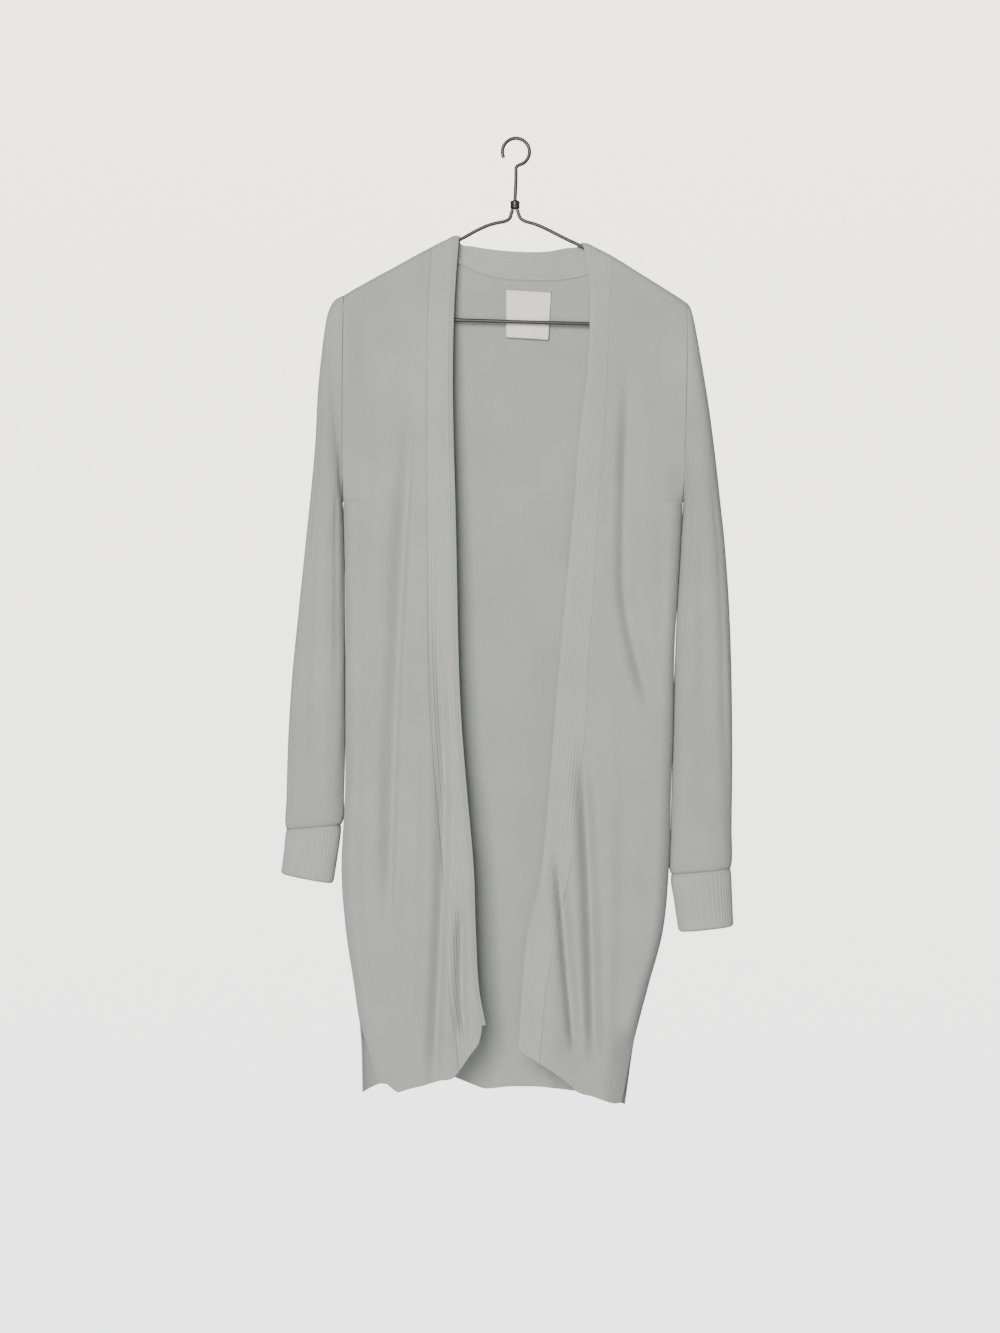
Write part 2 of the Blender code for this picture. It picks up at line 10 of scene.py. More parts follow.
# %% Load the frame
import math
import bmesh
import bpy
import numpy as np
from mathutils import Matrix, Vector


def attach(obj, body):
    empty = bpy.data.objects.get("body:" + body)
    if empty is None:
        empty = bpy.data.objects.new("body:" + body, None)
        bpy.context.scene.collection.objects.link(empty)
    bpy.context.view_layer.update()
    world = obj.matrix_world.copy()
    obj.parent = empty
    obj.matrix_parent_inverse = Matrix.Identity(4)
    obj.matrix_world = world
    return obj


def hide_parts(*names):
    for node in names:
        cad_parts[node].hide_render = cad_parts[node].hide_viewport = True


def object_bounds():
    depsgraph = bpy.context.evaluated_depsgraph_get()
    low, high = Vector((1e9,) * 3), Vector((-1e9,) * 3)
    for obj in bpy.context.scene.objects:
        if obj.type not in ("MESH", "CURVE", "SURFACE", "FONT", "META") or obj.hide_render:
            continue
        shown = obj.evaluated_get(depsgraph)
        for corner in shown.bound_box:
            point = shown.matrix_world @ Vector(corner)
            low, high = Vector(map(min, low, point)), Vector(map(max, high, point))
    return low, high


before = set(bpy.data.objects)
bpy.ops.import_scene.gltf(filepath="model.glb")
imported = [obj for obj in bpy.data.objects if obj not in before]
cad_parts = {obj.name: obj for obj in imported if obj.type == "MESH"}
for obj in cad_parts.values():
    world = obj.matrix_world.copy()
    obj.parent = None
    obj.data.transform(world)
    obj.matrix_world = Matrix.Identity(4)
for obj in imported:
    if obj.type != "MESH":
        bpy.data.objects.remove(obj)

MM = 0.001
solid_low, solid_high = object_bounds()
print("solid box, mm:", [round(v / MM) for v in solid_high - solid_low])

# %% [markdown]
# ## The garment's lines
#
# A hung knit is easiest to describe as a pattern cutter would: how wide it is at each height,
# and where its seams and edges run. The table has a row for each height and the places along
# X, in millimetres, of the side seams, the band seams and the front edges, with half the
# body's depth in front and behind. A smooth line through each column gives every height
# between, and one that never overshoots keeps the outline calm.

# %% Widths and seams by height
SECTION_COLUMNS = ("z", "side_left", "seam_left", "edge_left",
                   "edge_right", "seam_right", "side_right", "front", "back")
SECTIONS = (
    (-100, -189.0, -91.0, -62.0, 72.0, 106.0, 188.0, 13, 12),
    (-180, -189.0, -95.5, -67.5, 81.5, 103.0, 188.0, 15, 13),
    (-260, -189.4, -97.0, -69.0, 77.0, 99.0, 186.4, 18, 15),
    (-330, -189.7, -97.0, -68.0, 68.5, 95.5, 185.0, 20, 17),
    (-400, -190.0, -96.5, -66.0, 63.0, 90.0, 183.5, 22, 18),
    (-480, -188.2, -96.0, -64.5, 56.0, 85.0, 179.3, 24, 20),
    (-560, -187.7, -95.0, -63.0, 48.0, 79.5, 174.5, 26, 21),
    (-640, -187.7, -92.0, -59.5, 41.5, 75.0, 173.2, 27, 22),
    (-720, -188.3, -86.0, -53.0, 35.0, 68.5, 170.6, 28, 23),
    (-800, -192.0, -79.5, -46.0, 27.0, 58.0, 168.3, 30, 24),
    (-870, -187.0, -76.0, -43.5, 12.0, 43.0, 161.5, 31, 25),
    (-930, -178.0, -72.5, -40.0, 6.5, 32.0, 145.5, 32, 26),
    (-975, -172.5, -66.0, -32.0, 3.5, 27.5, 134.0, 33, 26),
    (-1061, -169.8, -58.0, -24.0, -3.0, 22.0, 121.0, 34, 27),
)
RIDGE = (
    (-205, -180.0), (-189, -170.5), (-160, -154.2), (-132, -139.0), (-103, -123.0),
    (-78, -110.5), (-62, -103.8), (5, -106.5), (73, -111.3), (85, -117.0), (109, -129.5),
    (133, -144.5), (162, -162.5), (188, -179.0), (196, -184.0),
)


def smooth_line(points, at):
    """A smooth line, with no overshoot, through a short table of points."""
    xs, ys = np.array(sorted(points), dtype=float).T
    slopes = np.diff(ys) / np.diff(xs)
    same_way = slopes[:-1] * slopes[1:] > 0
    inner = np.where(same_way, (slopes[:-1] + slopes[1:]) / 2, 0.0)
    tangents = np.concatenate([slopes[:1], inner, slopes[-1:]])
    at = np.clip(np.asarray(at, dtype=float), xs[0], xs[-1])
    i = np.clip(np.searchsorted(xs, at, side="right") - 1, 0, len(xs) - 2)
    run = xs[i + 1] - xs[i]
    t = (at - xs[i]) / run
    return ((2 * t**3 - 3 * t**2 + 1) * ys[i] + (t**3 - 2 * t**2 + t) * run * tangents[i]
            + (3 * t**2 - 2 * t**3) * ys[i + 1] + (t**3 - t**2) * run * tangents[i + 1])


SECTION_LINES = {name: tuple((row[0], row[i]) for row in SECTIONS)
                 for i, name in enumerate(SECTION_COLUMNS)}


def section(name, z):
    return smooth_line(SECTION_LINES[name], z)


def ridge(x):
    return smooth_line(RIDGE, x)


print("width at the underarm, mm:", float(section("side_right", -398) - section("side_left", -398)))

# %% [markdown]
# ## Folds
#
# The main folds of a hung knit are few, long and uneven, so they are listed one by one. Each row
# says how the fold runs (a height and its place along X, three times), how deep it is, and how
# wide it is to either side of its bottom: a fold that laps over is steep on one side and slow on the
# other. The folds of the solids come first, and the small ones that only show close up after
# them. A little low, slow waviness keeps the cloth between them from looking ironed.

# %% Fold table
MAIN_FOLDS = (
    ("front", ((-250, -110), (-520, -126), (-880, -139)), -11.0, 12.0, 3.6),
    ("front", ((-480, -90), (-720, -78), (-1060, -90)), -12.0, 8.5, 5.0),
    ("front", ((-830, -59), (-930, -60), (-985, -56)), -13.0, 6.5, 5.0),
    ("front", ((-235, 124), (-480, 118), (-640, 148)), -10.0, 8.0, 13.0),
    ("front", ((-640, 71), (-830, 81), (-1020, 86)), -18.0, 9.0, 6.5),
    ("front", ((-770, 43), (-880, 53), (-1005, 64)), -14.0, 5.5, 7.5),
    ("front", ((-760, 30), (-900, 38), (-1020, 40)), 4.0, 11.0, 11.0),
    ("back", ((-420, -120), (-700, -108), (-1080, -96)), -7.0, 14.0, 10.0),
    ("back", ((-500, 96), (-800, 84), (-1080, 92)), -7.0, 15.0, 11.0),
    ("back", ((-640, -30), (-860, -22), (-1080, -26)), 5.0, 18.0, 18.0),
    ("back", ((-700, 30), (-900, 38), (-1080, 34)), -4.0, 12.0, 11.0),
)
SMALL_FOLDS = (
    ("front", ((-170, -140), (-300, -150), (-520, -158)), -1.3, 9.0, 7.0),
    ("front", ((-560, -160), (-760, -164), (-960, -152)), -1.4, 7.0, 9.0),
    ("front", ((-620, -106), (-800, -110), (-990, -112)), 1.3, 7.0, 6.0),
    ("front", ((-230, 150), (-420, 158), (-700, 160)), -1.2, 9.0, 8.0),
    ("front", ((-560, 112), (-760, 118), (-1000, 108)), -1.3, 8.0, 10.0),
    ("front", ((-700, 100), (-860, 102), (-1010, 100)), 1.5, 6.0, 7.0),
    ("front", ((-130, -118), (-190, -106), (-260, -102)), -0.9, 6.0, 6.0),
    ("back", ((-170, -150), (-330, -142), (-560, -150)), -1.6, 10.0, 12.0),
    ("back", ((-180, 148), (-360, 140), (-620, 146)), -1.6, 12.0, 10.0),
    ("back", ((-300, -60), (-520, -66), (-760, -62)), -1.2, 14.0, 12.0),
    ("back", ((-260, 60), (-480, 52), (-700, 58)), -1.1, 12.0, 14.0),
    ("back", ((-820, -140), (-960, -134), (-1070, -128)), -2.0, 9.0, 8.0),
    ("back", ((-860, 70), (-980, 66), (-1075, 72)), 2.4, 9.0, 9.0),
)
FADE_IN = 3.5
FADE_OUT = 7.0
SHOULDER_ROUND = 9.0
SHOULDER_FALL = 150.0
SIDE_ROUND = 15.0
ARMHOLE_DEPTH = 22.0
UNDERARM = -398.0
LEVEL_EDGE = 14.0
VENT_TOP = -959.0
VENT_DROP = 78.0
VENT_SHIFT = {"left": 20.0, "right": 5.0}
VENT_SPREAD = 14.0
VENT_EASE = 40.0
SEAM_GAP = 0.3
ARMHOLE_TOP = {"left": -170.5, "right": -179.0}


def quarter_round(t):
    return np.sqrt(1 - (1 - np.clip(t, 0.0, 1.0)) ** 2)


def ease(t):
    t = np.clip(t, 0.0, 1.0)
    return t * t * (3 - 2 * t)


def fold_relief(face, x, z):
    total = np.zeros(np.shape(z))
    for fold_face, path, depth, width_left, width_right in MAIN_FOLDS + SMALL_FOLDS:
        if fold_face != face:
            continue
        top, bottom = path[0][0], path[-1][0]
        run = np.clip((top - z) / (top - bottom), 0.0, 1.0)
        aside = x - smooth_line(path, z)
        width = np.where(aside < 0, width_left, width_right)
        fade = ease(run * FADE_IN) * ease((1 - run) * FADE_OUT)
        total += depth * fade * np.exp(-(aside / width) ** 2)
    return total


def slow_waves(x, z, seed):
    """Low, long unevenness: a handful of slow waves, leaning a little from upright."""
    rng = np.random.default_rng(seed)
    total = np.zeros(np.shape(z))
    for _ in range(9):
        across, down = rng.uniform(24, 60), rng.uniform(150, 420)
        turn, lean = rng.uniform(0, 2 * np.pi), rng.uniform(-0.08, 0.08)
        total += np.sin(2 * np.pi * ((x + lean * z) / across + z / down) + turn)
    return total / 9


print("folds:", len(MAIN_FOLDS), "main and", len(SMALL_FOLDS), "small")

# %% [markdown]
# ## One surface for the whole body
#
# The front and the back hang from the hanger's arms, turn over them on a small round, and
# fall nearly flat. So the cloth's depth can be one function of place: distance down from the
# shoulder line and in from the side line. Panels, bands and neck band are cut out of that one
# surface, and their seams then meet by themselves. At the armholes the surface ends level, on
# half an ellipse, for the sleeve to carry on. The direction square to the cloth comes from
# small steps along the same function, so that two neighbours agree on it along their seam.

# %% Depth of the cloth
def armhole_depth(side, z):
    share = (ARMHOLE_TOP[side] - z) / (ARMHOLE_TOP[side] - UNDERARM)
    return ARMHOLE_DEPTH * np.sqrt(np.clip(1 - (2 * share - 1) ** 2, 0.0, 1.0))


def body_depth(face, x, z):
    left, right = section("side_left", z), section("side_right", z)
    on_left = x - left < right - x
    inset = np.maximum(0.0, np.minimum(x - left, right - x))
    drop = np.maximum(0.0, ridge(x) - z)
    fall = ease(drop / SHOULDER_FALL)
    middle = SHOULDER_ROUND * quarter_round(drop / SHOULDER_ROUND)
    middle = middle + (section(face, z) - SHOULDER_ROUND) * fall
    middle = middle + (fold_relief(face, x, z) + 0.9 * slow_waves(x, z, len(face))) * fall
    edge = np.where(on_left, armhole_depth("left", z), armhole_depth("right", z))
    edge = edge + VENT_SPREAD / 2 * ease((VENT_TOP - z) / VENT_EASE)
    level = np.minimum(1.0, edge / LEVEL_EDGE)
    rise = (1 - level) * quarter_round(inset / SIDE_ROUND) + level * ease(inset / (2 * SIDE_ROUND))
    return SEAM_GAP / 2 + edge + (middle - edge) * rise


def body_surface(face, x, z):
    """Points of the cloth's outer side, and the directions square to it."""
    sign = -1.0 if face == "front" else 1.0
    points = np.stack([x, sign * body_depth(face, x, z), z], axis=-1)
    step = 0.05
    xs = np.clip(x, section("side_left", z) + step, section("side_right", z) - step)
    zs = np.minimum(z, ridge(xs) - step)
    along_x = (body_depth(face, xs + step, zs) - body_depth(face, xs - step, zs)) / (2 * step)
    along_z = (body_depth(face, xs, zs + step) - body_depth(face, xs, zs - step)) / (2 * step)
    normals = np.stack([-along_x, np.full(np.shape(x), sign), -along_z], axis=-1)
    return points, normals / np.linalg.norm(normals, axis=-1, keepdims=True)


low_place = np.array(-130.0), np.array(-980.0)
print("depth in front near the hem, mm:", round(float(body_depth("front", *low_place)), 1))

# %% [markdown]
# ## Rows and columns of a panel
#
# A panel is a grid. Its columns run down the cloth as the knitted wales do, and its rows run
# across. The rows crowd together where the cloth turns over the shoulder, and one row lies
# exactly at the underarm, where the armhole ends.

# %% Row heights and arcs
ARC_ROWS = 7
UPPER_ROWS = 64
LOWER_ROWS = 128
RIM = (1.3, 0.75, 0.3, 0.05)


def arc_insets(radius, steps):
    return radius * (1 - np.cos(np.linspace(0, np.pi / 2, steps + 1)))


def column_heights(top, hem):
    """Heights down each column: over the shoulder, to the underarm, then to the hem."""
    over = top[:, None] - arc_insets(SHOULDER_ROUND, ARC_ROWS)
    slide = np.sin(np.linspace(0, np.pi / 2, UPPER_ROWS + 1)[1:])
    upper = over[:, -1:] + (UNDERARM - over[:, -1:]) * slide
    ends = hem[:, None] + np.array(RIM)
    lower = UNDERARM + (ends[:, :1] - UNDERARM) * np.linspace(0, 1, LOWER_ROWS + 1)[1:]
    return np.hstack([over, upper, lower, ends[:, 1:], hem[:, None]])


def top_of(x_at):
    """Where each column meets the shoulder line."""
    top = -140.0
    for _ in range(5):
        top = ridge(x_at(np.asarray(top)))
    return top


# %% [markdown]
# ## Cloth with a thickness
#
# A wall has an outer and an inner grid, a half thickness either side of the cloth's middle.
# Towards a free edge the two close on each other in a half circle, as a knitted edge rolls,
# and towards a seam they close a little, so that the seam shows as a soft line. The grid's
# own lengths, in metres, are kept as its UV map: the knit can then follow the cloth.

# %% Wall builder
def lengths_along(points, axis):
    steps = np.linalg.norm(np.diff(points, axis=axis), axis=-1)
    zero = np.zeros_like(np.take(steps, [0], axis=axis))
    return np.concatenate([zero, np.cumsum(steps, axis=axis)], axis=axis)


def rim_closing(distance, radius, half):
    """Half thickness near one side of a panel, for a rim rounded on this radius."""
    radius = min(radius, half)
    return half - radius + radius * quarter_round(distance / radius)


def wall_layers(points, normals, wall, rims, closed=False):
    """Outer and inner grids. rims gives the rounding at the first and last column and row."""
    half = wall / 2
    down = lengths_along(points, 1)
    thick = np.minimum(rim_closing(down, rims["top"], half),
                       rim_closing(down[:, -1:] - down, rims["bottom"], half))
    if not closed:
        across = lengths_along(points, 0)
        thick = np.minimum(thick, rim_closing(across, rims["first"], half))
        thick = np.minimum(thick, rim_closing(across[-1:] - across, rims["last"], half))
    middle = points - normals * half
    return middle + normals * thick[..., None], middle - normals * thick[..., None]


def wall_mesh(name, outer, inner, closed=False, uv_start=0.0):
    """A closed mesh from the two grids, with a UV map in metres of cloth."""
    columns, rows = outer.shape[:2]
    points = np.concatenate([outer.reshape(-1, 3), inner.reshape(-1, 3)]) * MM
    index = np.arange(columns * rows).reshape(columns, rows)
    ahead = np.roll(index, -1, axis=0) if closed else index[1:]
    here = index if closed else index[:-1]
    quads = np.stack([here[:, :-1], here[:, 1:], ahead[:, 1:], ahead[:, :-1]], axis=-1).reshape(-1, 4)
    far = columns * rows
    rims = [np.stack([here[:, 0], ahead[:, 0], ahead[:, 0] + far, here[:, 0] + far], axis=-1),
            np.stack([here[:, -1], here[:, -1] + far, ahead[:, -1] + far, ahead[:, -1]], axis=-1)]
    if not closed:
        first, last = index[0], index[-1]
        rims += [np.stack([first[:-1], first[:-1] + far, first[1:] + far, first[1:]], axis=-1),
                 np.stack([last[:-1], last[1:], last[1:] + far, last[:-1] + far], axis=-1)]
    faces = np.concatenate([quads, quads[:, ::-1] + far] + rims)
    across = lengths_along(outer, 0) * MM + uv_start
    down = -lengths_along(outer, 1) * MM
    flat = np.stack([across.reshape(-1), down.reshape(-1)], axis=-1)
    mesh = bpy.data.meshes.new(name)
    mesh.from_pydata(points.tolist(), [], faces.tolist())
    uv = mesh.uv_layers.new(name="cloth")
    corner = np.zeros(len(mesh.loops), dtype=np.int32)
    mesh.loops.foreach_get("vertex_index", corner)
    corner_uv = flat[corner % far]
    if closed:
        turn = float(np.linalg.norm(outer[0] - outer[-1], axis=-1).mean()) * MM
        face_of = np.repeat(np.arange(len(mesh.polygons)), 4)
        on_last = (corner % far) // rows == 0
        wraps = np.zeros(len(mesh.polygons), dtype=bool)
        first_last = (faces % far) // rows
        wraps |= (first_last == 0).any(axis=1) & (first_last == columns - 1).any(axis=1)
        late = on_last & wraps[face_of]
        corner_uv[late, 0] = across[-1].reshape(-1)[(corner[late] % far) % rows] + turn
    uv.data.foreach_set("uv", corner_uv.reshape(-1))
    mesh.validate()
    edit = bmesh.new()
    edit.from_mesh(mesh)
    bmesh.ops.remove_doubles(edit, verts=edit.verts, dist=0.00001)
    bmesh.ops.recalc_face_normals(edit, faces=edit.faces)
    edit.to_mesh(mesh)
    edit.free()
    mesh.shade_smooth()
    return mesh


def add_piece(name, mesh, material):
    piece = bpy.data.objects.new(name, mesh)
    bpy.context.scene.collection.objects.link(piece)
    mesh.materials.clear()
    mesh.materials.append(material)
    return piece


# %% [markdown]
# ## The knit's material
#
# Fine-gauge stocking stitch is a field of small V shapes: each wale is a column of them, and
# each course a row. The UV map is in metres, so the stitch is given at its real size, about
# 1.7 mm wide and 1.3 mm high. Two slanted strands in each wale make the bump, and the yarn's
# colour is darkened between them as painted shade. The yarn is a melange, so its colour wanders
# a little at two scales, and it is matt with a soft sheen of loose fibre. A rib is the same stitch
# in lighter colours, a painted highlight for the way its columns catch the light.

# %% Node helpers
def new_material(name, color, roughness):
    material = bpy.data.materials.new(name)
    material.use_nodes = True
    nodes = material.node_tree.nodes
    surface = nodes["Principled BSDF"]
    surface.inputs["Base Color"].default_value = (*color, 1)
    surface.inputs["Roughness"].default_value = roughness
    material.diffuse_color = (*color, 1)
    return material, material.node_tree, surface


def math_node(tree, operation, first, second=None, third=None):
    node = tree.nodes.new("ShaderNodeMath")
    node.operation = operation
    for socket, value in zip(node.inputs, (first, second, third)):
        if value is None:
            continue
        if isinstance(value, (int, float)):
            socket.default_value = value
        else:
            tree.links.new(value, socket)
    return node.outputs[0]


def noise_node(tree, vector, scale, detail=2.0, roughness=0.5):
    node = tree.nodes.new("ShaderNodeTexNoise")
    node.inputs["Scale"].default_value = scale
    node.inputs["Detail"].default_value = detail
    node.inputs["Roughness"].default_value = roughness
    tree.links.new(vector, node.inputs["Vector"])
    return node.outputs["Fac"]


def mix_colors(tree, amount, first, second):
    node = tree.nodes.new("ShaderNodeMix")
    node.data_type = "RGBA"
    for name, value in (("Factor", amount), ("A", first), ("B", second)):
        sockets = [s for s in node.inputs if s.name == name and s.enabled]
        if isinstance(value, (int, float, tuple)):
            sockets[0].default_value = value
        else:
            tree.links.new(value, sockets[0])
    return next(s for s in node.outputs if s.enabled)


# %% Knit and rib
WALE = 0.0017
COURSE = 0.0013


def knit_material(name, dark, light, bump, sheen=0.25):
    material, tree, surface = new_material(name, light, 0.92)
    nodes, links = tree.nodes, tree.links
    cloth = nodes.new("ShaderNodeUVMap")
    cloth.uv_map = "cloth"
    split = nodes.new("ShaderNodeSeparateXYZ")
    links.new(cloth.outputs["UV"], split.inputs[0])
    wale = math_node(tree, "DIVIDE", split.outputs["X"], WALE)
    course = math_node(tree, "DIVIDE", split.outputs["Y"], COURSE)
    place = math_node(tree, "FRACT", wale)
    off_centre = math_node(tree, "ABSOLUTE", math_node(tree, "SUBTRACT", place, 0.5))
    slant = math_node(tree, "MULTIPLY", off_centre, 1.6)
    strand = math_node(tree, "SINE", math_node(tree, "MULTIPLY",
                                               math_node(tree, "SUBTRACT", course, slant), 2 * math.pi))
    groove = math_node(tree, "SINE", math_node(tree, "MULTIPLY", place, math.pi))
    groove = math_node(tree, "POWER", groove, 0.6)
    middle = math_node(tree, "MULTIPLY_ADD", strand, 0.28, 0.6)
    stitch = math_node(tree, "MULTIPLY", middle, groove)

    space = nodes.new("ShaderNodeTexCoord").outputs["Object"]
    slow = noise_node(tree, space, 14.0, 3.0)
    quick = noise_node(tree, space, 900.0, 2.0, 0.7)
    fibre = noise_node(tree, space, 2600.0, 2.0, 0.7)
    melange = math_node(tree, "MULTIPLY_ADD", slow, 0.5, math_node(tree, "MULTIPLY", quick, 0.5))
    tone = nodes.new("ShaderNodeMapRange")
    links.new(melange, tone.inputs["Value"])
    tone.inputs["From Min"].default_value = 0.32
    tone.inputs["From Max"].default_value = 0.68
    yarn = mix_colors(tree, tone.outputs["Result"], (*dark, 1), (*light, 1))
    # Painted shade: the yarn colour is darkened in the hollows of the stitch, between strands and
    # between wales.
    painted_groove_shade = math_node(tree, "SUBTRACT", 1.0, stitch)
    shaded = mix_colors(tree, math_node(tree, "MULTIPLY", painted_groove_shade, 0.22), yarn,
                        (*(c * 0.6 for c in dark), 1))
    links.new(shaded, surface.inputs["Base Color"])

    height = math_node(tree, "MULTIPLY_ADD", fibre, 0.25, stitch)
    relief = nodes.new("ShaderNodeBump")
    relief.inputs["Strength"].default_value = bump
    relief.inputs["Distance"].default_value = 0.0005
    links.new(height, relief.inputs["Height"])
    links.new(relief.outputs["Normal"], surface.inputs["Normal"])
    surface.inputs["Sheen Weight"].default_value = sheen
    surface.inputs["Sheen Roughness"].default_value = 0.55
    surface.inputs["Specular IOR Level"].default_value = 0.25
    return material


KNIT = knit_material("sage_knit", (0.315, 0.325, 0.300), (0.385, 0.395, 0.365), 0.55)
# Painted highlight: the rib's colours are set lighter than the knit's, for the light its raised columns
# catch.
RIB = knit_material("sage_rib", (0.345, 0.355, 0.328), (0.415, 0.425, 0.393), 0.5)
print("materials:", KNIT.name, RIB.name)

# %% [markdown]
# ## The back
#
# One panel from the shoulder seams and the back neck to the hem. The neck part of its top edge
# follows the neck seam, where the band is linked on. The hem is uneven, as it hangs, and the
# sides are open below the vents. The back shows inside the open front too: a faint V that the
# knit took from being folded is pressed into it as two fine creases.

# %% Neck lines and hem lines
NECK_SEAM = (
    (-91, -117.0), (-84, -127.0), (-62, -135.5), (-38, -146.0), (-11, -152.0), (22, -153.5),
    (50, -153.0), (79, -147.0), (98, -138.0), (106, -127.5),
)
NECK_EDGE = (
    (-62, -103.8), (-60.5, -113.0), (-48, -115.5), (-33, -118.0), (-10, -120.5), (15, -121.8),
    (36, -121.0), (55, -117.5), (68, -115.5), (73, -111.3),
)
HEM_FRONT_LEFT = (
    (-150, -1032), (-139, -1041), (-126, -1038), (-98, -1032), (-88, -1029), (-70, -1025),
    (-60, -1014), (-50, -1001), (-38, -985), (-33, -969),
)
HEM_FRONT_RIGHT = (
    (1, -995), (15, -1004), (39, -1018), (63, -1034), (72, -1041), (91, -1046), (107, -1051),
    (119, -1055),
)
HEM_BACK = (
    (-171, -1049), (-152, -1042), (-128, -1039), (-89, -1033), (-67, -1036), (-51, -1042),
    (-29, -1049), (4, -1046), (32, -1046), (48, -1048), (70, -1051), (92, -1054), (122, -1062),
)
HEM_LEVEL = -1000.0
PANEL_WALL = 2.0
BAND_WALL = 2.6
NECK_STATIONS = 56


def along_polyline(points, shares):
    """Places at shares of a line's length, by X and Z, with its corners eased."""
    line = np.array(points, dtype=float)
    dense = np.linspace(0, 1, 200)
    length = np.concatenate([[0], np.cumsum(np.linalg.norm(np.diff(line, axis=0), axis=1))])
    length = length / length[-1]
    places = [smooth_line(tuple(zip(length, line[:, k])), dense) for k in (0, 1)]
    return np.stack([np.interp(shares, dense, p) for p in places], axis=-1)


def neck_shares():
    return (1 - np.cos(np.linspace(0, np.pi, NECK_STATIONS + 1))) / 2


# %% Back panel
BACK_SHOULDER_COLUMNS = 22
SIDE_ARCS = 6


def back_grid():
    """Places along X and Z of the back's grid, from the left side seam to the right one."""
    left_in, right_in = SECTIONS[0][1] + SIDE_ROUND, SECTIONS[0][6] - SIDE_ROUND
    neck = along_polyline(NECK_SEAM, neck_shares())
    left_tops = np.linspace(left_in, neck[0, 0], BACK_SHOULDER_COLUMNS + 1)[:-1]
    right_tops = np.linspace(neck[-1, 0], right_in, BACK_SHOULDER_COLUMNS + 1)[1:]
    tops = np.concatenate([left_tops, neck[:, 0], right_tops])
    shares = (tops - left_in) / (right_in - left_in)
    arcs = arc_insets(SIDE_ROUND, SIDE_ARCS)[:-1]
    share = np.concatenate([np.zeros(SIDE_ARCS), shares, np.ones(SIDE_ARCS)])
    left_inset = np.concatenate([arcs, np.full(len(shares) + SIDE_ARCS, SIDE_ROUND)])
    right_inset = np.concatenate([np.full(len(shares) + SIDE_ARCS, SIDE_ROUND), arcs[::-1]])

    def x_at(z):
        z = np.asarray(z)
        shape = (-1,) + (1,) * (z.ndim - 1) if z.ndim > 1 else (-1,)
        left = section("side_left", z) + left_inset.reshape(shape)
        right = section("side_right", z) - right_inset.reshape(shape)
        return left + (right - left) * share.reshape(shape)

    top = top_of(x_at)
    first = SIDE_ARCS + BACK_SHOULDER_COLUMNS
    top[first:first + len(neck)] = neck[:, 1]
    z = column_heights(top, smooth_line(HEM_BACK, x_at(HEM_LEVEL)))
    return x_at(z), z


V_CREASE = (((-34, -600), (-26, -622), (-20, -636), (-10, -646), (-6, -646)),
            ((-6, -646), (-3, -640), (2, -625), (9, -616), (20, -601), (28, -590)))


def crease_relief(x, z):
    """How near a place is to the pressed V, from 0 to 1."""
    nearest = np.full(np.shape(x), 1e9)
    for leg in V_CREASE:
        for (xa, za), (xb, zb) in zip(leg, leg[1:]):
            run = np.hypot(xb - xa, zb - za)
            t = np.clip(((x - xa) * (xb - xa) + (z - za) * (zb - za)) / run**2, 0, 1)
            nearest = np.minimum(nearest, np.hypot(x - xa - t * (xb - xa), z - za - t * (zb - za)))
    return np.exp(-(nearest / 1.6) ** 2)


x, z = back_grid()
points, normals = body_surface("back", x, z)
points = points + normals * (0.9 * crease_relief(x, z))[..., None]
rims = dict(first=0.5, last=0.5, top=0.6, bottom=1.0)
outer, inner = wall_layers(points, normals, PANEL_WALL, rims)
back = add_piece("back_panel", wall_mesh("back_panel", outer, inner), KNIT)

# %% [markdown]
# ## The fronts and their bands
#
# Each front is a panel between its band and the side seam, and each band is a strip about
# 33 mm wide that runs from the shoulder to the front hem. Both come from one grid of columns,
# so the seam between them stays shut. The band is ribbed along its length: shallow waves
# across it, a few tenths of a millimetre high, are real form rather than bump, and its free
# edge curls in. The fronts are level with the back at the sides and climb to the bands, and
# their side edges swing in below the vents.

# %% Front grids
PANEL_COLUMNS = 56
BAND_RIBS = 10
RIB_STEPS = 6
RIB_HEIGHT = 0.28
EDGE_CURL = 2.2
EDGE_CURL_WIDTH = 7.0


def front_grid(side, from_line, to_line, shares, insets):
    """Places of a grid between two of the front's lines, its insets measured from the side."""
    outward = -1 if side == "left" else 1
    hem = HEM_FRONT_LEFT if side == "left" else HEM_FRONT_RIGHT

    def line_at(name, z):
        x = section(f"{name}_{side}", z)
        if name == "side":
            x = x - outward * VENT_SHIFT[side] * np.maximum(0.0, (VENT_TOP - z) / VENT_DROP)
        return x

    def x_at(z):
        z = np.asarray(z)
        shape = (-1,) + (1,) * (z.ndim - 1) if z.ndim > 1 else (-1,)
        start = line_at(from_line, z)
        end = line_at(to_line, z) - outward * insets.reshape(shape)
        return start + (end - start) * shares.reshape(shape)

    z = column_heights(top_of(x_at), smooth_line(hem, x_at(HEM_LEVEL)))
    return x_at(z), z


def edge_shares(steps, width, radius):
    """Even shares across a strip, with extra ones near a free edge at its start."""
    near = np.array(RIM[::-1]) * radius / RIM[0] / width
    even = np.linspace(0, 1, steps + 1)[1:]
    return np.concatenate([[0.0], near, even[even > near[-1] * 1.5]])


